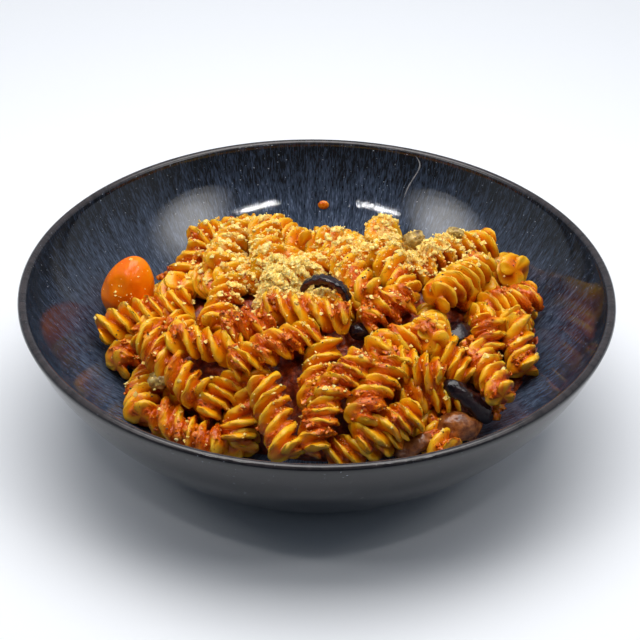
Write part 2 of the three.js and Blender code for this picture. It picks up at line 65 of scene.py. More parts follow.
# Table and light
# The bowl stands on a plain white table top in a white tent, which glows softly except in front. On
# each side hang a soft box, made of three ellipses so that its edge is soft, and three small lamps.
TABLE_HALF = 4.0
TABLE_CORNERS = ((-1, -1), (1, -1), (1, 1), (-1, 1))
TABLE_WHITE = (0.855, 0.868, 0.895, 1)
TENT_OPENING = (0, -0.9, 0.43)
OPENING_EDGE = (0.25, 0.8)
TENT_SIDES = (0.36, 0.4, 0.46, 1)
TENT_FRONT = (0.03, 0.045, 0.065, 1)
ROOF_PLACE = (0, 0.08, 0.9)
ROOF_AIM = (0, 0.02, 0)
ROOF_SIZE = (0.95, 0.7)
ROOF_WATTS = 9.2
ROOF_WHITE = (1, 0.985, 0.965)
BOX_PLACE = (0.318, -0.085, 0.335)
BOX_AIM = (0, 0.085, 0.04)
BOX_SIZE = (0.27, 0.13)
BOX_APART = 0.002
BOX_SPREAD = 0.95
BOX_WHITE = (1, 0.985, 0.96)
# Each ellipse of a soft box: its share of the size, and its watts
BOX_ELLIPSES = ((1.15, 0.0215), (0.9, 0.013), (0.6, 0.005))
LAMP_PLACE = (0.165, -0.22, 0.38)
LAMP_STEP = (0.031, 0.016)
LAMP_AIM = (-0.025, 0.09, 0.036)
LAMP_SIZE = (0.011, 0.008)
LAMP_WATTS = 0.04


def material_tree(name):
    """A new material that holds one Principled shader: the material, its node tree, the shader."""
    material = bpy.data.materials.new(name)
    material.use_nodes = True
    return material, material.node_tree, material.node_tree.nodes["Principled BSDF"]


def connect(tree, node, inputs):
    """Gives each of a node's inputs its value, or the output of another node."""
    for socket, value in inputs.items():
        if isinstance(value, bpy.types.NodeSocket):
            tree.links.new(value, node.inputs[socket])
        else:
            node.inputs[socket].default_value = value


def add_node(tree, kind, inputs=(), **settings):
    """A shader node with its settings and its inputs."""
    node = tree.nodes.new(kind)
    for setting, value in settings.items():
        setattr(node, setting, value)
    connect(tree, node, dict(inputs))
    return node


def area_light(name, place, aim, size, watts, colour=(1, 1, 1), spread=np.pi, shape="RECTANGLE"):
    """A flat light at a place, turned to face the aim; its beam is spread wide in radians."""
    light = bpy.data.lights.new(name, "AREA")
    light.shape = shape
    light.size, light.size_y = size
    light.energy = watts
    light.color = colour
    light.spread = spread
    lamp = bpy.data.objects.new(name, light)
    lamp.location = place
    lamp.rotation_euler = (Vector(aim) - Vector(place)).to_track_quat("-Z", "Y").to_euler()
    lamp.visible_camera = False
    bpy.context.collection.objects.link(lamp)


table_mesh = bpy.data.meshes.new("table")
table_mesh.from_pydata([(TABLE_HALF * x, TABLE_HALF * y, 0) for x, y in TABLE_CORNERS], [], [(0, 1, 2, 3)])
table = bpy.data.objects.new("table", table_mesh)
bpy.context.collection.objects.link(table)
table_white, tree, shader = material_tree("table_white")
connect(tree, shader, {"Base Color": TABLE_WHITE, "Roughness": 0.6})
table_mesh.materials.append(table_white)

room = bpy.data.worlds.new("room")
bpy.context.scene.world = room
room.use_nodes = True
tree = room.node_tree
way = add_node(tree, "ShaderNodeTexCoord").outputs["Generated"]
towards = add_node(tree, "ShaderNodeVectorMath", {0: way, 1: TENT_OPENING}, operation="DOT_PRODUCT")
front_range = {"Value": towards.outputs["Value"], "From Min": OPENING_EDGE[0], "From Max": OPENING_EDGE[1]}
front_share = add_node(tree, "ShaderNodeMapRange", front_range)
tent_glow = add_node(tree, "ShaderNodeValToRGB", {"Fac": front_share.outputs["Result"]})
tent_glow.color_ramp.interpolation = "EASE"
tent_glow.color_ramp.elements[0].color = TENT_SIDES
tent_glow.color_ramp.elements[1].color = TENT_FRONT
connect(tree, tree.nodes["Background"], {"Color": tent_glow.outputs["Color"]})
area_light("tent_roof", ROOF_PLACE, ROOF_AIM, ROOF_SIZE, ROOF_WATTS, ROOF_WHITE)
for side in (-1, 1):
    for reach, watts in BOX_ELLIPSES:
        name = f"soft_box_{side}_{reach}"
        box_place = (side * BOX_PLACE[0], BOX_PLACE[1], BOX_PLACE[2] + BOX_APART * reach)
        box_size = (BOX_SIZE[0] * reach, BOX_SIZE[1] * reach)
        area_light(name, box_place, BOX_AIM, box_size, watts, BOX_WHITE, BOX_SPREAD, "ELLIPSE")
    for step in (-1, 0, 1):
        lamp_across = side * (LAMP_PLACE[0] + LAMP_STEP[0] * step)
        lamp_place = (lamp_across, LAMP_PLACE[1] + LAMP_STEP[1] * step, LAMP_PLACE[2])
        lamp_aim = (side * LAMP_AIM[0], LAMP_AIM[1], LAMP_AIM[2])
        area_light(f"lamp_{side}_{step}", lamp_place, lamp_aim, LAMP_SIZE, LAMP_WATTS)


# Bowl
# A stoneware pasta bowl, thrown on a wheel: a foot ring, a flared wall and a rolled lip. It is dipped
# in a glossy blue-black glaze that runs down the wall in fine streaks and thins to brown on the lip.
MM = 0.001
BOWL_HEIGHT = 58
RIM_RADIUS = 110
LIP_RADIUS = 1.75
LIP_HEIGHT = BOWL_HEIGHT - LIP_RADIUS
FOOT_RADIUS = 64
FOOT_INNER_RADIUS = 56
FOOT_RECESS = 4
FOOT_EDGE = 1
FLOOR_RADIUS = 56
FLOOR_HEIGHT = 8
FLOOR_RINGS = (38, 18, 0)
# Handles of the wall's two curves: how each leaves its start and how it comes to its end
OUTER_HANDLES = ((77.5, 12), (102, 31.5))
INNER_HANDLES = ((99.3, 38.2), (72.6, FLOOR_HEIGHT))
BOWL_SEGMENTS = 180
INNER_FROM_LIP = 4
STREAK_STRETCH = 1.3
# Glaze by the share of streaks: a place from 0 to 1 and a colour
INNER_GLAZE = (
    (0.05, (0.007, 0.0075, 0.009)), (0.35, (0.022, 0.03, 0.048)),
    (0.6, (0.045, 0.062, 0.1)), (0.95, (0.12, 0.16, 0.24)),
)
OUTER_GLAZE = ((0.35, (0.003, 0.003, 0.004)), (0.7, (0.009, 0.01, 0.014)))
SPECK_BLUE = (0.4, 0.45, 0.52)
LIP_BROWN = (0.045, 0.036, 0.036)


def round_arc(centre, radius, start, end, steps):
    """Points (radius, height) on a circle round a centre, from one angle in degrees to another."""
    angle = np.radians(np.linspace(start, end, steps))
    return np.column_stack([centre[0] + radius * np.cos(angle), centre[1] + radius * np.sin(angle)])


def flared_curve(start, low, high, end, steps):
    """Points (radius, height) on a cubic Bezier curve: two ends and the two handles between them."""
    t = np.linspace(0, 1, steps)[:, None]
    ends = (1 - t) ** 3 * np.array(start) + t**3 * np.array(end)
    return ends + 3 * t * (1 - t) ** 2 * np.array(low) + 3 * t**2 * (1 - t) * np.array(high)


def grid_triangles(rows, columns, closed=True):
    """Two triangles for each cell of a grid of points, whose last column joins the first if closed."""
    row = np.arange(rows - 1)[:, None]
    column = np.arange(columns if closed else columns - 1)[None, :]
    a = row * columns + column
    b = row * columns + (column + 1) % columns
    cells = np.stack([a, b, b + columns, a, b + columns, a + columns], axis=-1)
    return cells.reshape(-1, 3)


def fan_triangles(first, count, tip, flipped):
    """Triangles from each step of a closed ring of points to one tip."""
    here = first + np.arange(count)
    after = first + (np.arange(count) + 1) % count
    order = (after, here) if flipped else (here, after)
    return np.column_stack([*order, np.full(count, tip)])


def tube_triangles(rings, around):
    """Triangles over a row of closed rings of points, whose ends close to two tips listed after them."""
    body = rings * around
    return np.vstack([
        grid_triangles(rings, around),
        fan_triangles(0, around, body, True),
        fan_triangles(body - around, around, body + 1, False),
    ])


def turned_surface(outline, segments):
    """An outline of (radius, height) carried once round the Z axis; its two ends lie on the axis."""
    angle = np.linspace(0, 2 * np.pi, segments, endpoint=False)
    radius, height = outline[1:-1, 0:1], outline[1:-1, 1:2]
    rings = np.stack([radius * np.cos(angle), radius * np.sin(angle), height + 0 * angle], axis=-1)
    points = np.vstack([rings.reshape(-1, 3), [0, 0, outline[0, 1]], [0, 0, outline[-1, 1]]])
    return points, tube_triangles(len(outline) - 2, segments)


def dish(name, points, triangles, material, slot, node=None, **attributes):
    """A smooth mesh of points in millimetres, with a number for each point under each attribute's
    name. It rides on the part, takes its finish from the material, and stands for the node if one is
    given. The slot is not used."""
    mesh = bpy.data.meshes.new(name)
    mesh.vertices.add(len(points))
    mesh.vertices.foreach_set("co", (points * MM).astype(np.float32).ravel())
    mesh.loops.add(triangles.size)
    mesh.loops.foreach_set("vertex_index", triangles.astype(np.int32).ravel())
    mesh.polygons.add(len(triangles))
    mesh.polygons.foreach_set("loop_start", np.arange(0, triangles.size, 3, dtype=np.int32))
    for attribute, values in attributes.items():
        layer = mesh.attributes.new(attribute, "FLOAT", "POINT")
        layer.data.foreach_set("value", values.astype(np.float32).ravel())
    mesh.update(calc_edges=True)
    mesh.shade_smooth()
    mesh.materials.append(material)
    piece = bpy.data.objects.new(name, mesh)
    bpy.context.collection.objects.link(piece)
    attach(piece, "root")
    if node:
        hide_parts(node)
    return piece


def object_place(tree):
    """The place of a point on its piece, in metres."""
    return add_node(tree, "ShaderNodeTexCoord").outputs["Object"]


def own_share(tree, name):
    """The number that each point of a piece holds under a name."""
    return add_node(tree, "ShaderNodeAttribute", attribute_name=name).outputs["Fac"]


def noise(tree, place, scale, detail=3, roughness=0.5):
    """Smooth noise from 0 to 1 at a place, with that many waves to a metre."""
    inputs = {"Vector": place, "Scale": scale, "Detail": detail, "Roughness": roughness}
    return add_node(tree, "ShaderNodeTexNoise", inputs).outputs["Fac"]


def colour_steps(tree, factor, *steps):
    """A colour for a factor: each step is a place from 0 to 1 and a colour."""
    ramp = add_node(tree, "ShaderNodeValToRGB", {"Fac": factor})
    while len(ramp.color_ramp.elements) < len(steps):
        ramp.color_ramp.elements.new(0.5)
    for element, (place, colour) in zip(ramp.color_ramp.elements, steps):
        element.position = place
        element.color = (*colour, 1)
    return ramp.outputs["Color"]


def grey_steps(tree, factor, *steps):
    """A number for a factor: each step is a place from 0 to 1 and a number."""
    return colour_steps(tree, factor, *[(place, (value, value, value)) for place, value in steps])


def blended(tree, factor, first, second):
    """The first colour turning into the second as the factor goes from 0 to 1."""
    inputs = {0: factor}
    for socket, colour in ((6, first), (7, second)):
        inputs[socket] = colour if isinstance(colour, bpy.types.NodeSocket) else (*colour, 1)
    return add_node(tree, "ShaderNodeMix", inputs, data_type="RGBA").outputs[2]


def reckon(tree, operation, *values):
    """One step of arithmetic on numbers or sockets."""
    return add_node(tree, "ShaderNodeMath", dict(enumerate(values)), operation=operation).outputs[0]


def weighted(tree, first, share, second):
    """The first number times its share, plus the second number times the rest."""
    parts = reckon(tree, "MULTIPLY", first, share), reckon(tree, "MULTIPLY", second, 1 - share)
    return reckon(tree, "ADD", *parts)


def uneven(tree, value, grain, amount):
    """A value that a grain of 0 to 1 moves up or down by as much as half the amount."""
    return reckon(tree, "ADD", value, reckon(tree, "MULTIPLY", reckon(tree, "SUBTRACT", grain, 0.5), amount))


def raised(tree, height, distance, strength):
    """A bump whose height, from 0 to 1, stands for that distance in metres."""
    inputs = {"Height": height, "Distance": distance, "Strength": strength}
    return add_node(tree, "ShaderNodeBump", inputs).outputs["Normal"]


outer_wall = flared_curve((FOOT_RADIUS, FOOT_EDGE), *OUTER_HANDLES, (RIM_RADIUS, LIP_HEIGHT), 44)
lip = round_arc((RIM_RADIUS - LIP_RADIUS, LIP_HEIGHT), LIP_RADIUS, 0, 180, 13)
inner_start = (RIM_RADIUS - 2 * LIP_RADIUS, LIP_HEIGHT)
inner_wall = flared_curve(inner_start, *INNER_HANDLES, (FLOOR_RADIUS, FLOOR_HEIGHT), 60)
foot = np.array([
    (0, FOOT_RECESS), (20, FOOT_RECESS), (FOOT_INNER_RADIUS - 0.6, FOOT_RECESS),
    (FOOT_INNER_RADIUS, FOOT_RECESS - 0.4), (FOOT_INNER_RADIUS + 0.4, 0.8), (FOOT_INNER_RADIUS + 1, 0.15),
    (FOOT_INNER_RADIUS + 2, 0), (FOOT_RADIUS - 2, 0), (FOOT_RADIUS - 0.7, 0.3),
])
floor_line = np.array([(ring, FLOOR_HEIGHT) for ring in FLOOR_RINGS])
bowl_outline = np.vstack([foot, outer_wall, lip[1:-1], inner_wall, floor_line])

glaze, tree, shader = material_tree("dark_streaked_glaze")
glaze_place = object_place(tree)
glaze_parts = add_node(tree, "ShaderNodeSeparateXYZ", {"Vector": glaze_place}).outputs
level_parts = {"X": glaze_parts["X"], "Y": glaze_parts["Y"]}
level_place = add_node(tree, "ShaderNodeCombineXYZ", level_parts).outputs[0]
way_out = add_node(tree, "ShaderNodeVectorMath", {0: level_place}, operation="NORMALIZE").outputs[0]
way_parts = add_node(tree, "ShaderNodeSeparateXYZ", {"Vector": way_out}).outputs
level_length = add_node(tree, "ShaderNodeVectorMath", {0: level_place}, operation="LENGTH")
down_wall = reckon(tree, "ADD", level_length.outputs["Value"], glaze_parts["Z"])
run_down = reckon(tree, "MULTIPLY", down_wall, STREAK_STRETCH)
streak_parts = {"X": way_parts["X"], "Y": way_parts["Y"], "Z": run_down}
streak_place = add_node(tree, "ShaderNodeCombineXYZ", streak_parts).outputs[0]
fine_streaks = noise(tree, streak_place, 190, 2, 0.6)
broad_streaks = noise(tree, streak_place, 38, 3, 0.6)
streaks = weighted(tree, fine_streaks, 0.65, broad_streaks)
up_the_wall = reckon(tree, "MULTIPLY", glaze_parts["Z"], 10)
pooled = grey_steps(tree, up_the_wall, (0.1, 0.7), (0.25, 0.6), (0.36, 0.46), (0.45, 0.3), (0.53, 0.1))
inner_colour = colour_steps(tree, uneven(tree, pooled, streaks, 2.3), *INNER_GLAZE)
outer_colour = colour_steps(tree, streaks, *OUTER_GLAZE)
streak_colour = blended(tree, own_share(tree, "inner_side"), outer_colour, inner_colour)
pale_specks = grey_steps(tree, noise(tree, glaze_place, 1100, 1), (0.745, 0.0), (0.785, 0.75))
speck_colour = blended(tree, pale_specks, streak_colour, SPECK_BLUE)
lip_share = grey_steps(tree, up_the_wall, (0.568, 0.0), (0.577, 1.0))
lip_wear = grey_steps(tree, broad_streaks, (0.35, 0.4), (0.6, 0.9))
lip_worn = reckon(tree, "MULTIPLY", lip_share, lip_wear)
connect(tree, shader, {
    "Base Color": blended(tree, lip_worn, speck_colour, LIP_BROWN),
    "Roughness": grey_steps(tree, streaks, (0.4, 0.025), (0.7, 0.075)),
    "Normal": raised(tree, streaks, 0.0001, 0.3),
})
bowl_points, bowl_triangles = turned_surface(bowl_outline, BOWL_SEGMENTS)
inner_rings = np.arange(len(bowl_outline) - 2) > len(foot) + len(outer_wall) + INNER_FROM_LIP
inner_side = np.concatenate([np.repeat(inner_rings, BOWL_SEGMENTS), [False, True]])
dish("glazed_bowl", bowl_points, bowl_triangles, glaze, "glaze", "bowl", inner_side=inner_side)


# Sauced mass
# Under the pieces that show, the heap is fusilli and thick tomato sauce packed together: a dome with
# rounded corners, dark red-brown and wet where it shows between the pieces. Its darkest red-browns are
# painted shade of the hollows between the pieces.
HEAP_CENTRE = (4, 12)
HEAP_RIGHT, HEAP_LEFT = 86, 80
HEAP_BACK, HEAP_FRONT = 64, 58
HEAP_RISE = 41
CORNER_POWER = 1.8
SHOULDER_POWER = 2.6
SLOPE_POWER = 0.7
# Round dips in the dome: x, y, radius, depth
HOLLOWS = ((56, -34, 13, 9), (16, -10, 9, 6), (54, 0, 10, 7))
MASS_SINK = 5.0
MASS_UNDER = 1.5
MASS_SPOKES = 150
MASS_RINGS = 90
LUMP_WAVES = 24
# Sauce colours by the grain of its pulp; the darkest are painted shade of the hollows between pieces
SAUCE_REDS = (
    (0.3, (0.06, 0.006, 0.002)), (0.48, (0.2, 0.02, 0.002)),
    (0.62, (0.42, 0.06, 0.004)), (0.8, (0.65, 0.2, 0.03)),
)


def heap_reach(x, y):
    """Share of the way from the heap's middle to its edge, which is a rounded diamond."""
    across = np.abs(x - HEAP_CENTRE[0]) / np.where(x > HEAP_CENTRE[0], HEAP_RIGHT, HEAP_LEFT)
    along = np.abs(y - HEAP_CENTRE[1]) / np.where(y > HEAP_CENTRE[1], HEAP_BACK, HEAP_FRONT)
    return (across**CORNER_POWER + along**CORNER_POWER) ** (1 / CORNER_POWER)


def heap_edge(angle):
    """Distance from the heap's middle to the edge of the same rounded diamond, at an angle."""
    across = np.abs(np.cos(angle)) / np.where(np.cos(angle) > 0, HEAP_RIGHT, HEAP_LEFT)
    along = np.abs(np.sin(angle)) / np.where(np.sin(angle) > 0, HEAP_BACK, HEAP_FRONT)
    return (across**CORNER_POWER + along**CORNER_POWER) ** (-1 / CORNER_POWER)


def heap_height(x, y):
    """Height of the sauced mass: a dome over the reach, less a round dip for each hollow."""
    dome = np.clip(1 - heap_reach(x, y) ** SHOULDER_POWER, 0, None) ** SLOPE_POWER
    height = FLOOR_HEIGHT + HEAP_RISE * dome
    for hollow_x, hollow_y, radius, depth in HOLLOWS:
        height = height - depth * np.exp(-((x - hollow_x) ** 2 + (y - hollow_y) ** 2) / radius**2)
    return height


def wall_height(x, y):
    """Height of the bowl's inner surface over a point, read off the inner wall's curve."""
    return np.interp(np.hypot(x, y), inner_wall[::-1, 0], inner_wall[::-1, 1])


def lumps(points, size, seed):
    """Smooth noise of about -1 to 1: a sum of plane waves of about that size in seeded directions."""
    draw = np.random.default_rng(seed)
    ways = draw.normal(size=(LUMP_WAVES, 3))
    ways /= np.linalg.norm(ways, axis=1, keepdims=True)
    waves = ways * (2 * np.pi / size * draw.uniform(0.6, 1.7, (LUMP_WAVES, 1)))
    phases = draw.uniform(0, 2 * np.pi, LUMP_WAVES)
    return np.sin(points @ waves.T + phases).sum(axis=-1) / np.sqrt(LUMP_WAVES)


mass_angle = np.linspace(0, 2 * np.pi, MASS_SPOKES, endpoint=False)
mass_edge = heap_edge(mass_angle)
mass_share = np.linspace(0.94, 0.01, MASS_RINGS)[:, None]
mass_x = HEAP_CENTRE[0] + np.cos(mass_angle) * mass_edge * mass_share
mass_y = HEAP_CENTRE[1] + np.sin(mass_angle) * mass_edge * mass_share
mass_flat = np.stack([mass_x, mass_y, 0 * mass_x], axis=-1)
mass_rough = 1.8 * lumps(mass_flat, 9, 1) + 0.5 * lumps(mass_flat, 2.5, 2)
mass_z = heap_height(mass_x, mass_y) - MASS_SINK + mass_rough
mass_z = np.maximum(mass_z, wall_height(mass_x, mass_y) + 0.1 + 0.25 * lumps(mass_flat, 6, 3))
mass_rings = np.stack([mass_x, mass_y, mass_z], axis=-1).reshape(-1, 3)
under_ring = np.stack([mass_x[0], mass_y[0], wall_height(mass_x[0], mass_y[0]) - MASS_UNDER], axis=-1)
mass_tips = [[*HEAP_CENTRE, FLOOR_HEIGHT - MASS_UNDER], [*HEAP_CENTRE, mass_z[-1].mean()]]
mass_points = np.vstack([under_ring, mass_rings, mass_tips])

# The darkest reds of this sauce are painted shade of the hollows between the pieces.
sauce, tree, shader = material_tree("shaded_tomato_sauce")
sauce_pulp = noise(tree, object_place(tree), 420, 4, 0.6)
connect(tree, shader, {
    "Base Color": colour_steps(tree, sauce_pulp, *SAUCE_REDS),
    "Roughness": 0.28,
    "Normal": raised(tree, sauce_pulp, 0.0012, 0.8),
})
dish("sauced_mass", mass_points, tube_triangles(MASS_RINGS + 1, MASS_SPOKES), sauce, "pasta")


# Fusilli
# Short pasta extruded as three ridges twisted to the right round a thin core, then boiled until it
# swells. Each is about 14 mm across and 22 to 40 mm long, coated with sauce that stays in its grooves.
FUSILLO_RADIUS = 6.9
FUSILLO_CORE = 2.9
FUSILLO_PITCH = 16
RING_POINTS = 56
RING_COUNT = 64
ROLL_STEP = 2.4
BENDING = 1.6
FULL_TURN = 6.28
END_ROUNDING = 1.5
# What the middle of an end counts as: its height on the ridge and its share of sauce
TIP_RIDGE = 0.5
TIP_SAUCE = 0.3
# How far a fusillo may sink into the bowl's wall
PRESSED = 0.2
# Each fusillo that shows from the front: centre x, y, z, turn from +X, tip above level, length
LEFT_FUSILLI = np.array([
    (-65, 10, 35, 10, 15, 37), (-67, 5, 24, 55, 0, 28), (-53, -19, 34, -50, -15, 36),
    (-41, -16, 41, -10, -5, 28), (-62.5, -17.5, 21, 85, 0, 32), (-45, -38, 18, -35, -5, 31),
    (-31, -27, 29, 35, 20, 30), (-26, -34, 27, 65, 40, 30), (-14, -46, 31, -70, -25, 32),
    (-15, -23, 44, 25, 10, 35), (-4, -9, 52, -15, 0, 33), (-35, 11, 45, 75, 15, 34),
    (-34, 33, 52, 70, 5, 28), (-37, 51, 46, 15, 5, 28), (-50, 37, 40, 45, 35, 22),
    (-20, 30, 54, -85, -5, 27), (-13, 44, 51, 125, -5, 22), (-25, -11, 45, 5, 5, 20),
    (-6, 17, 51, 35, 0, 30), (-52, 7, 36, -70, 0, 26), (2, -28, 37, 80, 25, 28),
    (-45, -16, 20, 50, 0, 24), (-28, -32, 16, 95, 0, 28), (8, 2, 48, 20, 0, 24),
])
RIGHT_FUSILLI = np.array([
    (12, 18, 55, -65, -5, 40), (26, 52, 48, 85, -35, 26), (55, 37, 50, 35, -10, 32),
    (54, 17, 49, 55, -5, 34), (73, 19, 38, 35, -10, 26), (72.5, 42.5, 39, 115, -25, 22),
    (64, -5, 33, -95, -30, 26), (63, -19, 33, 110, 5, 30), (76, 0, 33, -80, -25, 26),
    (32, -17, 44, 30, 0, 30), (23, -38, 36, -120, -15, 32), (10, -36, 40, -135, -20, 24),
    (1, -48, 30, -110, -30, 24), (33, -25, 39, -20, -10, 28), (26, -47, 28, 25, 10, 26),
    (18, -48, 22, 15, 15, 30), (47, -16, 38, -50, -25, 26), (42, -4, 41, 90, -20, 30),
    (29, 17, 53, -70, -10, 28), (41, -29, 28, 10, -10, 24), (26, -3, 48, 35, 10, 22),
    (67, 9, 36, 5, -15, 20), (44, -38, 17, 110, 5, 22),
])
# Courses round the back of the heap: pieces, reach, lift, arc in degrees
COURSES = ((5, 0.42, 1, 20, 170), (7, 0.62, 1.5, 0, 180), (10, 0.84, 2.5, -8, 188))
COURSE_SEED = 11
COURSE_SWING = 1.1
COURSE_LENGTHS = (24, 36)
COURSE_OFF_WALL = 9
# Cells of the map of the heap's top: their size, and how many lie on each side of the middle
MAP_STEP = 0.9
MAP_HALF = 200
MAP_SIDE = 2 * MAP_HALF
# Where parmesan fell: centre x and y, radius along x and y, how thick, and number of loose crumbs
CHEESE_PATCHES = (
    (-12, 10, 17, 11, 0.85, 3900), (-30, 34, 18, 16, 0.4, 800), (36, 34, 22, 12, 0.8, 2800),
    (14, 30, 20, 16, 0.4, 700), (0, 0, 80, 60, 0.0, 1400),
)
# Boiled dough by the height on the ridge, and the sauce on it by the grain of its pulp
DOUGH_YELLOWS = (
    (0.25, (0.6, 0.11, 0.001)), (0.5, (0.8, 0.25, 0.002)),
    (0.72, (0.84, 0.39, 0.006)), (0.92, (0.86, 0.58, 0.05)),
)
PULP_REDS = (
    (0.3, (0.28, 0.018, 0.0005)), (0.45, (0.5, 0.056, 0.0006)),
    (0.58, (0.65, 0.115, 0.0012)), (0.74, (0.82, 0.28, 0.01)),
)
FILM_ORANGE = (0.62, 0.135, 0.0015)
PEPPER_BROWN = (0.07, 0.02, 0.006)
MELTED_CHEESE = (0.92, 0.72, 0.28)


def course_rows():
    """Rows for the pieces laid by a rule: they lie along the slope of the heap, each turned and
    lengthened by a seeded draw."""
    draw = np.random.default_rng(COURSE_SEED)
    rows = []
    for count, reach, lift, start, end in COURSES:
        angle = np.radians(start + (end - start) * (np.arange(count) + 0.5) / count)
        angle = angle + draw.uniform(-0.1, 0.1, count)
        out = heap_edge(angle) * reach
        x = HEAP_CENTRE[0] + np.cos(angle) * out
        y = HEAP_CENTRE[1] + np.sin(angle) * out
        turn = angle + np.pi / 2 + draw.uniform(-COURSE_SWING, COURSE_SWING, count)
        length = draw.uniform(*COURSE_LENGTHS, count)
        step_x = np.cos(turn) * length / 3
        step_y = np.sin(turn) * length / 3
        rise = heap_height(x + step_x, y + step_y) - heap_height(x - step_x, y - step_y)
        tip = np.arctan2(rise, length * 2 / 3)
        z = np.maximum(heap_height(x, y) + lift, wall_height(x, y) + COURSE_OFF_WALL)
        rows.append(np.column_stack([x, y, z, np.degrees(turn), np.degrees(tip), length]))
    return np.vstack(rows)


def smooth_step(values, low, high):
    """0 below the low value, 1 above the high one, and a soft S between."""
    share = np.clip((values - low) / (high - low), 0, 1)
    return share * share * (3 - 2 * share)


def sauce_cover(points, groove, from_end, soak):
    """How well sauce covers each point. It is more in the grooves, low in the heap and by smooth noise,
    and less at the ends and where it runs off: on the top, at the back left and at the far left. The
    more sauce low down and the less on the top are also painted shade below and painted light on top."""
    x, y, z = points[..., 0], points[..., 1], points[..., 2]
    # Less sauce on the top, towards the back: sauce that ran off, and painted light on the heap's top.
    drained = 0.3 * smooth_step(z, 40, 56) * smooth_step(y, -10, 20)
    drained = drained + 0.35 * smooth_step(y, 8, 30) * smooth_step(-x, 22, 40)
    drained = drained + 0.35 * smooth_step(-x, 66, 76)
    # More sauce low in the heap is painted shade on its lower pieces; less at the ends is bare cut dough.
    sunk = 0.08 * (1 - smooth_step(z, 22, 44)) - 0.22 * (1 - from_end)
    patchy = 0.34 * lumps(points, 12, 4) + 0.17 * lumps(points, 3.6, 5)
    return 0.55 * groove + patchy + soak + 0.13 - drained + sunk


def fusilli(rows, first):
    """Fusilli as rings along their axes. The radius in a ring is the core's plus a rounded step on
    each of three ridges, the ring turns as it goes along, and the axis is a shallow arc. Lumpy sauce
    fills the grooves and runs over the ridges in places, by smooth noise. Gives points, triangles,
    height above the groove, and share of sauce."""
    count = len(rows)
    draw = np.random.default_rng(first + 5)
    centre = rows[:, None, 0:3]
    turn, tip = np.radians(rows[:, 3]), np.radians(rows[:, 4])
    length = rows[:, 5]
    axis = np.column_stack([np.cos(tip) * np.cos(turn), np.cos(tip) * np.sin(turn), np.sin(tip)])
    side = np.column_stack([-np.sin(turn), np.cos(turn), 0 * turn])
    over = np.cross(axis, side)
    share = np.linspace(-0.5, 0.5, RING_COUNT)
    along = share * length[:, None]
    arch = draw.uniform(-BENDING, BENDING, (count, 1)) * (1 - 4 * share**2)
    sway = draw.uniform(-BENDING, BENDING, (count, 1)) * (1 - 4 * share**2)
    spine = (
        centre + along[..., None] * axis[:, None] + arch[..., None] * over[:, None]
        + sway[..., None] * side[:, None]
    )
    pitch = FUSILLO_PITCH * draw.uniform(0.9, 1.12, (count, 1))
    roll = ROLL_STEP * (first + np.arange(count))[:, None]
    waves = draw.uniform(0.6, 1.5, (count, 1))
    slack = 0.35 * np.sin(2 * np.pi * share * waves + draw.uniform(0, FULL_TURN, (count, 1)))
    twist = roll + 2 * np.pi * along / pitch + slack
    around = np.linspace(0, 2 * np.pi, RING_POINTS, endpoint=False)
    ridge = (1 + np.cos(3 * around)) / 2
    step = 1 - (1 - ridge) ** 1.3
    girth = draw.uniform(0.94, 1.05, (count, 1, 1))
    size = girth * (1 + 0.05 * np.sin(9 * share + draw.uniform(0, FULL_TURN, (count, 1))))[..., None]
    from_end = np.clip((0.5 - np.abs(share)) * length[:, None] / END_ROUNDING, 0, 1)[..., None]
    narrowed = 0.66 + 0.34 * np.sqrt(1 - (1 - from_end) ** 2)
    radius = (FUSILLO_CORE + (FUSILLO_RADIUS - FUSILLO_CORE) * step) * size * narrowed
    angle = twist[..., None] + around
    outward = np.cos(angle)[..., None] * side[:, None, None] + np.sin(angle)[..., None] * over[:, None, None]
    rough = spine[:, :, None] + radius[..., None] * outward
    groove = 1 - step
    cover = sauce_cover(rough, groove, from_end, draw.normal(0, 0.15, (count, 1, 1)))
    thick = smooth_step(cover, 0.42, 0.95)
    lumpy = 0.4 * lumps(rough, 2.6, 6) + 0.14 * lumps(rough, 1.5, 16)
    swell = thick * (0.5 * groove + 0.6 + lumpy) + 0.09 * lumps(rough, 3, 8)
    swell = swell + 0.22 * lumps(rough, 4, 23) * step
    wave = 0.45 * lumps(rough, 5, 7)
    points = spine[:, :, None] + (radius + swell)[..., None] * outward
    points = points + (wave * step)[..., None] * axis[:, None, None]
    tips = np.stack([spine[:, 0], spine[:, -1]], axis=1)
    points = np.concatenate([points.reshape(count, -1, 3), tips], axis=1)
    points[..., 2] = np.maximum(points[..., 2], wall_height(points[..., 0], points[..., 1]) - PRESSED)
    first_points = np.arange(count)[:, None, None] * points.shape[1]
    triangles = tube_triangles(RING_COUNT, RING_POINTS) + first_points
    height = np.broadcast_to(step, (count, RING_COUNT, RING_POINTS)).reshape(count, -1)
    height = np.concatenate([height, np.full((count, 2), TIP_RIDGE)], axis=1)
    sauced = smooth_step(cover, 0.1, 0.9).reshape(count, -1)
    sauced = np.concatenate([sauced, np.full((count, 2), TIP_SAUCE)], axis=1)
    return points.reshape(-1, 3), triangles.reshape(-1, 3), height.ravel(), sauced.ravel()


def patch_distance(x, y, patch):
    """Squared distance from a cheese patch's centre, counted in its radii."""
    centre_x, centre_y, radius_x, radius_y = patch[:4]
    return ((x - centre_x) / radius_x) ** 2 + ((y - centre_y) / radius_y) ** 2


def cheese_fallen(x, y, falloff):
    """How thick parmesan fell over a point: the most of all patches, each of which thins out as a bell."""
    bells = [patch[4] * np.exp(-falloff * patch_distance(x, y, patch)) for patch in CHEESE_PATCHES]
    return np.max(bells, axis=0)


def lit_through(shader, share, reaches, depth):
    """Light passes into the piece: what share of it, how far each colour goes, and the depth in metres."""
    shader.inputs["Subsurface Weight"].default_value = share
    shader.inputs["Subsurface Radius"].default_value = reaches
    shader.inputs["Subsurface Scale"].default_value = depth


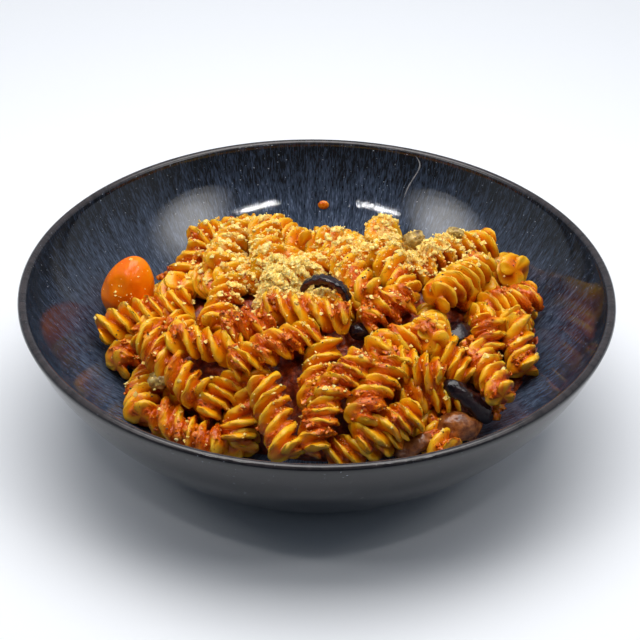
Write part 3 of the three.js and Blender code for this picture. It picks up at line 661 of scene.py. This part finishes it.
pasta, tree, shader = material_tree("sauced_fusilli")
pasta_place = object_place(tree)
sauce_share = own_share(tree, "sauce")
smears = noise(tree, pasta_place, 300, 4, 0.6)
pulp = noise(tree, pasta_place, 900, 4, 0.65)
dough_share = weighted(tree, own_share(tree, "ridge"), 0.6, smears)
film = grey_steps(tree, uneven(tree, sauce_share, smears, 0.9), (0.02, 0.0), (0.6, 0.85))
filmed = blended(tree, film, colour_steps(tree, dough_share, *DOUGH_YELLOWS), FILM_ORANGE)
clots = grey_steps(tree, uneven(tree, sauce_share, pulp, 0.7), (0.3, 0.0), (1.0, 0.95))
sauced = blended(tree, clots, filmed, colour_steps(tree, pulp, *PULP_REDS))
pepper = grey_steps(tree, noise(tree, pasta_place, 1600, 1), (0.71, 0.0), (0.75, 0.8))
peppered = blended(tree, pepper, sauced, PEPPER_BROWN)
cheese_edge = uneven(tree, own_share(tree, "cheese"), pulp, 1.6)
melted = grey_steps(tree, cheese_edge, (0.45, 0.0), (0.8, 0.75))
grain = reckon(tree, "MULTIPLY", pulp, reckon(tree, "ADD", sauce_share, 0.15))
connect(tree, shader, {
    "Base Color": blended(tree, melted, peppered, MELTED_CHEESE),
    "Roughness": grey_steps(tree, smears, (0.35, 0.12), (0.7, 0.28)),
    "Normal": raised(tree, grain, 0.0005, 0.55),
    "Specular IOR Level": 0.18,
    "Coat Weight": 0.35,
    "Coat Roughness": 0.09,
})
lit_through(shader, 0.2, (1.0, 0.4, 0.1), 0.002)
fusilli_parts = (
    fusilli(LEFT_FUSILLI, 0),
    fusilli(RIGHT_FUSILLI, len(LEFT_FUSILLI)),
    fusilli(course_rows(), len(LEFT_FUSILLI) + len(RIGHT_FUSILLI)),
)
all_points = np.vstack([parts[0] for parts in fusilli_parts])
all_sauce = np.concatenate([parts[3] for parts in fusilli_parts])
cell = np.floor(all_points[:, :2] / MAP_STEP).astype(int) + MAP_HALF
cell_key = cell[:, 0] * MAP_SIDE + cell[:, 1]
top_of_cell = np.full(MAP_SIDE * MAP_SIDE, -1.0)
np.maximum.at(top_of_cell, cell_key, all_points[:, 2])
under_top = top_of_cell[cell_key] - all_points[:, 2]
fallen = cheese_fallen(all_points[:, 0], all_points[:, 1], 1.2)
strewn = fallen + 0.35 * lumps(all_points, 6, 14) * (fallen > 0.1)
cheese_cover = strewn * smooth_step(-under_top, -3.5, -0.5)
cheesy_parts = np.split(cheese_cover, np.cumsum([len(parts[0]) for parts in fusilli_parts])[:-1])
part_names = ("fusilli_left", "fusilli_right", "fusilli_back")
part_nodes = ("pasta", None, None)
for name, node, parts, cheesy in zip(part_names, part_nodes, fusilli_parts, cheesy_parts):
    dish(name, parts[0], parts[1], pasta, "pasta", node, ridge=parts[2], sauce=parts[3], cheese=cheesy)


# Half tomato
# Half a small orange plum tomato, cooked until its skin is dull and soft, leaning on the left side
# of the heap with its skin to the eater.
# Length, width and height of the half, and the depth of the hollow in its cut face
TOMATO_SHAPE = (28, 20, 9, 1)
TOMATO_TAPER = 0.012
TOMATO_PLACE = (-72.6, 27.6, 37.5)
TOMATO_TURNS = (5, 76, 90)
TOMATO_ORANGES = ((0.3, (0.86, 0.14, 0.001)), (0.55, (0.95, 0.22, 0.0015)), (0.8, (0.98, 0.32, 0.003)))
CUT_EDGE = 0.15


def placed(points, place, turn, tip, lean):
    """Turns points by lean round X, by tip up from X, by turn round Z, then moves them to the place."""
    a, b, c = np.radians([lean, -tip, turn])
    roll_x = np.array([[1, 0, 0], [0, np.cos(a), -np.sin(a)], [0, np.sin(a), np.cos(a)]])
    roll_y = np.array([[np.cos(b), 0, np.sin(b)], [0, 1, 0], [-np.sin(b), 0, np.cos(b)]])
    roll_z = np.array([[np.cos(c), -np.sin(c), 0], [np.sin(c), np.cos(c), 0], [0, 0, 1]])
    return points @ (roll_z @ roll_y @ roll_x).T + np.array(place)


def half_fruit(length, width, height, hollow):
    """Half an egg shape: a quarter turn of skin over the cut edge, then the cut face, which is sunk
    in its middle, both carried round and stretched to length and width."""
    skin = np.radians(np.linspace(0, 88, 22))
    face = np.linspace(0.97, 0.02, 12)
    sunk = np.where(face < 0.8, hollow * np.sqrt(1 - (face / 0.8).clip(0, 1) ** 2), 0)
    cut_face = np.column_stack([face, sunk])[::-1]
    skin_line = np.column_stack([np.cos(skin), height * np.sin(skin) + CUT_EDGE])
    outline = np.vstack([[(0, hollow)], cut_face, skin_line, [(0, height + CUT_EDGE)]])
    points, triangles = turned_surface(outline, 48)
    return points * [length / 2, width / 2, 1], triangles


tomato, tree, shader = material_tree("cooked_tomato")
tomato_place = object_place(tree)
tomato_wrinkles = noise(tree, tomato_place, 300, 3)
connect(tree, shader, {
    "Base Color": colour_steps(tree, noise(tree, tomato_place, 90, 3), *TOMATO_ORANGES),
    "Roughness": 0.2,
    "Normal": raised(tree, tomato_wrinkles, 0.0005, 0.4),
    "Specular IOR Level": 0.35,
})
lit_through(shader, 0.2, (1.0, 0.3, 0.1), 0.002)
tomato_points, tomato_triangles = half_fruit(*TOMATO_SHAPE)
tomato_points[:, 1] *= 1 - TOMATO_TAPER * tomato_points[:, 0]
tomato_points = tomato_points + 0.45 * lumps(tomato_points, 11, 8)[:, None] * [0.3, 0.3, 1]
tomato_placed = placed(tomato_points, TOMATO_PLACE, *TOMATO_TURNS)
dish("tomato_skin_half", tomato_placed, tomato_triangles, tomato, "tomato", "tomato_half")


# Olives
# Pitted black olives and brown Kalamata olives, cut into halves, wedges and a ring. Their skin is
# thin, oily and finely wrinkled, and the cut flesh is paler.
BLACK_SKIN = ((0.004, 0.002, 0.003), (0.025, 0.01, 0.012))
BLACK_FLESH = (0.06, 0.014, 0.01)
BROWN_SKIN = ((0.11, 0.024, 0.005), (0.38, 0.125, 0.026))
BROWN_FLESH = (0.66, 0.36, 0.12)
# Radius, wall and width of the ring slice, and the angles that it runs between
OLIVE_RING = (10.7, 2.8, 4.2, 0.25, 2.9)


def closed_tube(rings):
    """Rings of points as one list with a tip in the middle of each end, and their triangles."""
    points = np.vstack([rings.reshape(-1, 3), rings[0].mean(axis=0), rings[-1].mean(axis=0)])
    return points, tube_triangles(*rings.shape[:2])


def olive_wedge(length, width, thickness, bend):
    """A crescent section carried along the length: skin over the top, flesh meeting in a keel below.
    It narrows to both ends and bends by a shallow arc."""
    share = np.linspace(-1, 1, 40)[:, None]
    around = np.linspace(0, 2 * np.pi, 28, endpoint=False)
    end_taper = np.sqrt(np.clip((1 - np.abs(share)) / 0.06, 0.05, 1))
    taper = np.sqrt(np.clip(1 - 0.85 * share**4, 0.02, 1)) * end_taper
    across = np.cos(around) * width / 2 * taper
    up = np.sin(around)
    rise = np.where(up > 0, up * thickness * 0.7, -np.abs(up) ** 1.6 * thickness * 0.3) * taper
    along = share * length / 2 + 0 * across
    points, triangles = closed_tube(np.stack([along, across, rise - bend * share**2], axis=-1))
    flesh = np.concatenate([np.broadcast_to(up < -0.15, across.shape).ravel(), [0, 0]]).astype(float)
    return points, triangles, flesh


def olive_ring(radius, wall, width, start, end):
    """Part of a ring standing up: a rounded section of wall and width carried round from start to end."""
    share = np.linspace(0, 1, 60)[:, None]
    angle = start + (end - start) * share
    around = np.linspace(0, 2 * np.pi, 24, endpoint=False)
    taper = np.sqrt(np.clip(np.minimum(share, 1 - share) / 0.04, 0.05, 1))
    out = np.sign(np.cos(around)) * np.abs(np.cos(around)) ** 0.7 * wall / 2 * taper
    side = np.sign(np.sin(around)) * np.abs(np.sin(around)) ** 0.6 * width / 2 * taper
    crease = 0.22 * np.sin(30 * share + 2 * np.sin(9 * share)) * np.clip(np.cos(around), 0, 1)
    reach = radius - wall / 2 + out + crease
    points, triangles = closed_tube(np.stack([reach * np.cos(angle), side, reach * np.sin(angle)], axis=-1))
    flesh = np.concatenate([np.broadcast_to(np.cos(around) < 0.4, out.shape).ravel(), [1, 1]]).astype(float)
    return points, triangles[:, ::-1], flesh


def oily_olive(name, skin_colours, flesh_colour):
    """Oily olive: skin mottled from dark to light, flesh where the piece is cut."""
    material, tree, shader = material_tree(name)
    place = object_place(tree)
    skin_dark, skin_light = skin_colours
    skin = colour_steps(tree, noise(tree, place, 350, 4, 0.6), (0.35, skin_dark), (0.7, skin_light))
    connect(tree, shader, {
        "Base Color": blended(tree, own_share(tree, "flesh"), skin, flesh_colour),
        "Roughness": 0.13,
        "Normal": raised(tree, noise(tree, place, 700, 3), 0.0006, 0.5),
    })
    return material


black_olive = oily_olive("black_olive", BLACK_SKIN, BLACK_FLESH)
brown_olive = oily_olive("brown_olive", BROWN_SKIN, BROWN_FLESH)
olive_kinds = {"black_olive": black_olive, "brown_olive": brown_olive}
ring_points, ring_triangles, ring_flesh = olive_ring(*OLIVE_RING)
ring_points = ring_points + 0.22 * lumps(ring_points, 2.4, 17)[:, None] * [0.5, 1, 1]
ring_points = placed(ring_points, (3, -0.5, 50.5), -20, 0, -4)
dish(
    "olive_ring_piece", ring_points, ring_triangles, black_olive, "black_olive", "olive_ring_slice",
    flesh=ring_flesh,
)
# Each wedge: its node, its kind, length, width, thickness and bend, its place, and turn, tip and lean
for name, node, kind, shape, place, turns in (
    ("olive_strip", "olive_strip_black", "black_olive", (24, 7.5, 5.5, 1.0), (56, -31, 28), (-6, -42, 20)),
    ("olive_wedge", "olive_wedge_brown", "brown_olive", (16, 6.5, 4, 1.2), (36, -45.5, 18), (20, 14, 50)),
    ("olive_scrap", "olive_piece_black", "black_olive", (11, 7, 5, 0.5), (17, -9, 43), (10, -10, 30)),
):
    points, triangles, flesh = olive_wedge(*shape)
    points = points + 0.25 * lumps(points, 5, 9)[:, None]
    dish(name, placed(points, place, *turns), triangles, olive_kinds[kind], kind, node, flesh=flesh)
# Each half: its node, its kind, length, width, height and hollow, its place, and turn, tip and lean
for name, node, kind, shape, place, turns in (
    ("olive_dome", "olive_half_brown", "brown_olive", (18, 12, 7.5, 1.5), (52, -35, 18), (13, -18, 12)),
    ("olive_dark_half", "olive_half_black", "black_olive", (15, 12, 6, 1.5), (53, -1, 35), (70, -10, 10)),
):
    points, triangles = half_fruit(*shape)
    flesh = (points[:, 2] < 0.2).astype(float)
    points = points + 0.3 * lumps(points, 6, 10)[:, None]
    dish(name, placed(points, place, *turns), triangles, olive_kinds[kind], kind, node, flesh=flesh)


# Capers
# Pickled flower buds, olive-brown and a little larger than a lentil, wrinkled where the petals fold
# over each other. They lie loose on the pasta.
CAPER_TIP = 1
CAPER_HEIGHT_SHARE = 0.83
CAPER_GREENS = ((0.3, (0.1, 0.05, 0.01)), (0.52, (0.36, 0.22, 0.045)), (0.72, (0.7, 0.52, 0.18)))
caper, tree, shader = material_tree("pickled_caper")
caper_folds = noise(tree, object_place(tree), 420, 3)
connect(tree, shader, {
    "Base Color": colour_steps(tree, caper_folds, *CAPER_GREENS),
    "Roughness": 0.3,
    "Normal": raised(tree, caper_folds, 0.0008, 0.8),
})
caper_buds = []
for name, size, place, turns in (
    ("caper_back", 6.6, (37, 41, 52.5), (20, 10, 0)),
    ("caper_right", 4.6, (53, 38, 57.5), (-20, 0, 0)),
    ("caper_left", 6.6, (-58, -24, 30), (-35, 10, 0)),
):
    height = np.radians(np.linspace(-90, 90, 26))
    points, triangles = turned_surface(np.column_stack([np.cos(height), np.sin(height)]), 36)
    points = points * [size / 2 + CAPER_TIP, size / 2, size / 2 * CAPER_HEIGHT_SHARE]
    points = points * (1 + 0.11 * lumps(points, 3.2, 12) + 0.04 * lumps(points, 1.3, 13))[:, None]
    points = placed(points, place, *turns)
    caper_buds.append(points)
    dish(name + "_bud", points, triangles, caper, "caper", name)


# Parmesan
# Grated over the top and half melted: a soft drift lies between the fusilli where it fell thick, with
# small clumps in it, and loose pale crumbs lie there and, thinly, on everything else.
CHEESE_SEED = 6
DRIFT_X = (-50, 76)
DRIFT_Y = (-8, 56)
DRIFT_STEP = 0.45
DRIFT_THICK = 4.0
DRIFT_SINK = 2.1
DRIFT_UNDER = 7
DRIFT_LEAST = 0.38
DRIFT_FULL = 0.6
HEAPED_THICK = 0.6
CRUMBS_PER_CLUMP = 9
TOMATO_CRUMBS = 26
CAPER_CRUMBS = 14
CHEESE_PALES = ((0.3, (0.94, 0.51, 0.075)), (0.5, (1.0, 0.71, 0.18)), (0.66, (1.0, 0.87, 0.38)))
# Orange painted shade in the hollows between the drift's grains
OILED_CHEESE = (0.72, 0.27, 0.03)
topmost = all_points[under_top < 0.25]


def soft_top(blur):
    """The map of the highest pasta in each cell, blurred by that many cells; empty cells don't count."""
    top = top_of_cell.reshape(MAP_SIDE, MAP_SIDE)
    known = top > 0
    total, share = np.where(known, top, 0), known.astype(float)
    weight = np.exp(-0.5 * (np.arange(-3 * blur, 3 * blur + 1) / blur) ** 2)
    for axis in (0, 1):
        total = np.apply_along_axis(np.convolve, axis, total, weight, "same")
        share = np.apply_along_axis(np.convolve, axis, share, weight, "same")
    return total / np.maximum(share, 1e-6)


def read_map(values, x, y):
    """A map's value at x and y, in between its cells' middles."""
    column, row = x / MAP_STEP + (MAP_HALF - 0.5), y / MAP_STEP + (MAP_HALF - 0.5)
    a, b = np.floor(column).astype(int), np.floor(row).astype(int)
    u, v = column - a, row - b
    near = values[a, b] * (1 - u) + values[a + 1, b] * u
    far = values[a, b + 1] * (1 - u) + values[a + 1, b + 1] * u
    return near * (1 - v) + far * v


soft_map = soft_top(2)


def drift_surface(x, y):
    """Height of the cheese drift over a point, how deep in a hollow of its grain it is, 0 to 1, and the
    share of cheese that fell there. Where little fell, the drift dips under the sauce."""
    flat = np.stack([x, y, 0 * x], axis=-1)
    share = cheese_fallen(x, y, 1.3)
    grain = 0.42 * lumps(flat, 1.5, 20) + 0.6 * lumps(flat, 2.6, 21)
    drift = read_map(soft_map, x, y) - DRIFT_SINK + grain + 0.8 * lumps(flat, 8, 22)
    buried = np.minimum(drift, heap_height(x, y) - DRIFT_UNDER)
    shown = smooth_step(share, DRIFT_LEAST, DRIFT_FULL)
    return buried * (1 - shown) + drift * shown, smooth_step(-grain, -0.2, 0.8), share


across_drift, along_drift = np.arange(*DRIFT_X, DRIFT_STEP), np.arange(*DRIFT_Y, DRIFT_STEP)
drift_x, drift_y = np.meshgrid(across_drift, along_drift, indexing="ij")
drift_z, drift_hollow, drift_share = drift_surface(drift_x, drift_y)
drift_top = np.stack([drift_x, drift_y, drift_z], axis=-1).reshape(-1, 3)
drift_points = np.vstack([drift_top, drift_top - [0, 0, DRIFT_THICK]])
drift_cells = grid_triangles(*drift_x.shape, False)[:, ::-1]
drift_cells = drift_cells[(drift_share.ravel()[drift_cells] > DRIFT_LEAST - 0.04).all(axis=1)]
below = len(drift_top)
sides = np.vstack([drift_cells[:, [0, 1]], drift_cells[:, [1, 2]], drift_cells[:, [2, 0]]])
shared_side = np.isin(sides[:, 0] * below + sides[:, 1], sides[:, 1] * below + sides[:, 0])
edge_from, edge_to = sides[~shared_side].T
drift_triangles = np.vstack([
    drift_cells,
    drift_cells[:, ::-1] + below,
    np.column_stack([edge_from, edge_from + below, edge_to + below]),
    np.column_stack([edge_from, edge_to + below, edge_to]),
])
drift_used, drift_triangles = np.unique(drift_triangles, return_inverse=True)
drift_triangles = drift_triangles.reshape(-1, 3)
drift_points = drift_points[drift_used]
drift_hollow = np.tile(drift_hollow.ravel(), 2)[drift_used]


def scattered(body, faces, spots, sizes, seed):
    """One closed body at each spot, at its size, stretched, dented and turned round Z by a seeded draw."""
    draw = np.random.default_rng(seed)
    stretch = draw.uniform(0.5, 1.4, (len(spots), 1, 3))
    bodies = body * stretch + draw.normal(0, 0.2, (len(spots), len(body), 3))
    spin = draw.uniform(0, 2 * np.pi, (len(spots), 1))
    turned = np.stack([
        bodies[..., 0] * np.cos(spin) - bodies[..., 1] * np.sin(spin),
        bodies[..., 0] * np.sin(spin) + bodies[..., 1] * np.cos(spin),
        bodies[..., 2],
    ], axis=-1)
    points = spots[:, None] + turned * sizes[:, None, None]
    triangles = faces + (np.arange(len(spots)) * len(body))[:, None, None]
    return points.reshape(-1, 3), triangles.reshape(-1, 3)


level = np.radians(np.linspace(-90, 90, 6))
lump_body, lump_faces = turned_surface(np.column_stack([np.cos(level), 0.7 * np.sin(level)]), 8)
octahedron = np.array([(1, 0, 0), (0, 1, 0), (-1, 0, 0), (0, -1, 0), (0, 0, 1), (0, 0, -1)], float)
octahedron_faces = np.array([
    (0, 1, 4), (1, 2, 4), (2, 3, 4), (3, 0, 4), (1, 0, 5), (2, 1, 5), (3, 2, 5), (0, 3, 5),
])
cheese_draw = np.random.default_rng(CHEESE_SEED)
crumb_spots = []
clump_spots = []
for patch in CHEESE_PATCHES:
    patch_x, patch_y, radius_x, radius_y, thick, count = patch
    away = patch_distance(topmost[:, 0], topmost[:, 1], patch)
    likely = np.exp(-1.6 * away) * (away < 3)
    picked = cheese_draw.choice(len(topmost), count, p=likely / likely.sum())
    spots = topmost[picked] + cheese_draw.normal(0, 0.35, (count, 3))
    spread = cheese_draw.normal(0, 0.45, (count // 2, 2)) * [radius_x, radius_y] + [patch_x, patch_y]
    spread_z, _, spread_share = drift_surface(spread[:, 0], spread[:, 1])
    if thick > HEAPED_THICK:
        spots = np.vstack([spots, np.column_stack([spread, spread_z])[spread_share > DRIFT_LEAST]])
    spots[:, 2] = np.maximum(spots[:, 2], drift_surface(spots[:, 0], spots[:, 1])[0] + 0.2)
    crumb_spots.append(spots)
    if thick > 0:
        clump_spots.append(spots[::CRUMBS_PER_CLUMP])
on_tomato = tomato_placed[(tomato_placed[:, 1] < 26) & (tomato_placed[:, 2] > 36)]
crumb_spots.append(on_tomato[cheese_draw.choice(len(on_tomato), TOMATO_CRUMBS)])
for bud in caper_buds:
    crumb_spots.append(bud[cheese_draw.choice(len(bud), CAPER_CRUMBS)])
crumb_spots = np.vstack(crumb_spots)
crumb_sizes = cheese_draw.gamma(3.0, 0.15, len(crumb_spots)).clip(0.2, 1.1)
clump_spots = np.vstack(clump_spots) - [0, 0, 0.3]
clump_sizes = cheese_draw.uniform(0.5, 1.25, len(clump_spots))
cheese, tree, shader = material_tree("parmesan")
cheese_grain = noise(tree, object_place(tree), 700, 3, 0.6)
cheese_pale = colour_steps(tree, cheese_grain, *CHEESE_PALES)
# The drift's grain hollows turn orange: painted shade between the grains.
cheese_soak = grey_steps(tree, cheese_grain, (0.3, 1.0), (0.7, 0.4))
cheese_oiled = reckon(tree, "MULTIPLY", own_share(tree, "hollow"), cheese_soak)
connect(tree, shader, {
    "Base Color": blended(tree, cheese_oiled, cheese_pale, OILED_CHEESE),
    "Roughness": 0.45,
    "Normal": raised(tree, cheese_grain, 0.0005, 0.5),
})
lit_through(shader, 0.3, (1.0, 0.7, 0.4), 0.0012)
dish("parmesan_drift", drift_points, drift_triangles, cheese, "pasta", hollow=drift_hollow)
crumb_points, crumb_triangles = scattered(octahedron, octahedron_faces, crumb_spots, crumb_sizes, 7)
crumbs = dish("parmesan_crumbs", crumb_points, crumb_triangles, cheese, "pasta")
crumbs.data.shade_flat()
clump_points, clump_triangles = scattered(lump_body, lump_faces, clump_spots, clump_sizes, 8)
dish("parmesan_clumps", clump_points, clump_triangles, cheese, "pasta")


# Tomato pulp
# Soft lumps of cooked tomato in the sauce: most are as small as a lentil and lie in the grooves and
# between the pieces; a few larger ones lie by the brown olive. One splash has dried on the far wall.
PULP_SEED = 21
PULP_COUNT = 330
FINE_PULP_COUNT = 800
LARGE_PULP = np.array([
    (47, -33, 24.5), (43, -35, 22.5), (50.5, -31, 24), (66, -30, 21),
    (68, -27, 22), (39, -33, 27), (21, -42, 29),
])
SPLASH_PLACE = (2, 93.4, 35.6)
SPLASH_SIZE = (2.4, 1.4, 3.0)
PULP_ORANGES = ((0.3, (0.42, 0.05, 0.0005)), (0.5, (0.66, 0.14, 0.001)), (0.72, (0.82, 0.32, 0.015)))
pulp_draw = np.random.default_rng(PULP_SEED)
in_sauce = all_points[(all_sauce > 0.6) & (under_top < 2.5)]
on_film = all_points[(all_sauce > 0.3) & (under_top < 1.2)]
pulp_spots = np.vstack([
    in_sauce[pulp_draw.choice(len(in_sauce), PULP_COUNT)],
    LARGE_PULP,
    on_film[pulp_draw.choice(len(on_film), FINE_PULP_COUNT)],
])
pulp_sizes = np.concatenate([
    pulp_draw.gamma(4.0, 0.3, PULP_COUNT).clip(0.6, 2.2),
    pulp_draw.uniform(2.2, 3.0, len(LARGE_PULP)),
    pulp_draw.uniform(0.3, 0.85, FINE_PULP_COUNT),
])
pulp_points, pulp_triangles = scattered(lump_body * 0.85, lump_faces, pulp_spots, pulp_sizes, 22)
pulp_triangles = np.vstack([pulp_triangles, lump_faces + len(pulp_points)])
pulp_points = np.vstack([pulp_points, lump_body * SPLASH_SIZE + SPLASH_PLACE])
cooked_pulp, tree, shader = material_tree("tomato_pulp")
cooked_grain = noise(tree, object_place(tree), 500, 3)
connect(tree, shader, {
    "Base Color": colour_steps(tree, cooked_grain, *PULP_ORANGES),
    "Roughness": 0.22,
    "Normal": raised(tree, cooked_grain, 0.0005, 0.5),
})
lit_through(shader, 0.15, (1.0, 0.3, 0.1), 0.0015)
dish("tomato_pulp_lumps", pulp_points, pulp_triangles, cooked_pulp, "pasta")


# Dried drip
# Sauce water that ran down the far wall and dried there. It left a pale thread, hardly raised from
# the glaze, that wanders a little on its way down.
DRIP_X = (39.6, 41.0, 38.3, 35)
DRIP_Y = (98.8, 96.3, 94.6, 91.2)
DRIP_HALF = 0.24
DRIP_LIFT = 0.55
DRIP_LEAN = 0.83
DRIP_GREY = (0.24, 0.24, 0.25, 1)
drip_share = np.linspace(0, 3, 60)
drip_x = np.polyval(np.polyfit(range(4), DRIP_X, 3), drip_share)
drip_y = np.polyval(np.polyfit(range(4), DRIP_Y, 3), drip_share)
drip_line = np.column_stack([drip_x, drip_y, wall_height(drip_x, drip_y)])
outward = np.column_stack([drip_x, drip_y, 0 * drip_x]) / np.hypot(drip_x, drip_y)[:, None]
sideways = np.column_stack([-outward[:, 1], outward[:, 0], 0 * drip_x])
off_wall = [0, 0, DRIP_LIFT] - DRIP_LEAN * outward
drip_around = np.linspace(0, 2 * np.pi, 8, endpoint=False)
drip_taper = np.sqrt(np.clip(1 - (drip_share / 1.5 - 1) ** 6, 0.01, 1))
drip_half = DRIP_HALF * drip_taper * (1 + 0.3 * lumps(drip_line, 3, 40))
drip_rings = drip_line[:, None] + drip_half[:, None, None] * (
    np.cos(drip_around)[:, None] * sideways[:, None] + np.sin(drip_around)[:, None] * off_wall[:, None]
)
drip_points, drip_triangles = closed_tube(drip_rings)
drip, tree, shader = material_tree("dried_sauce_water")
connect(tree, shader, {"Base Color": DRIP_GREY, "Roughness": 0.35})
dish("dried_drip", drip_points, drip_triangles, drip, "pasta")


# Herb flecks
# Ground pepper and dried herbs that went in with the sauce: tiny dark flecks of no set shape, stuck all
# over the top of the pasta.
FLECK_SEED = 31
FLECK_COUNT = 460
FLECK_LIFT = 0.1
HERB_BROWN = (0.045, 0.026, 0.006, 1)
fleck_draw = np.random.default_rng(FLECK_SEED)
fleck_spots = topmost[fleck_draw.choice(len(topmost), FLECK_COUNT)] + [0, 0, FLECK_LIFT]
fleck_sizes = fleck_draw.uniform(0.16, 0.42, FLECK_COUNT)
herb, tree, shader = material_tree("dried_herb")
connect(tree, shader, {"Base Color": HERB_BROWN, "Roughness": 0.5})
fleck_points, fleck_triangles = scattered(octahedron, octahedron_faces, fleck_spots, fleck_sizes, 32)
herb_flecks = dish("herb_flecks", fleck_points, fleck_triangles, herb, "pasta")
herb_flecks.data.shade_flat()
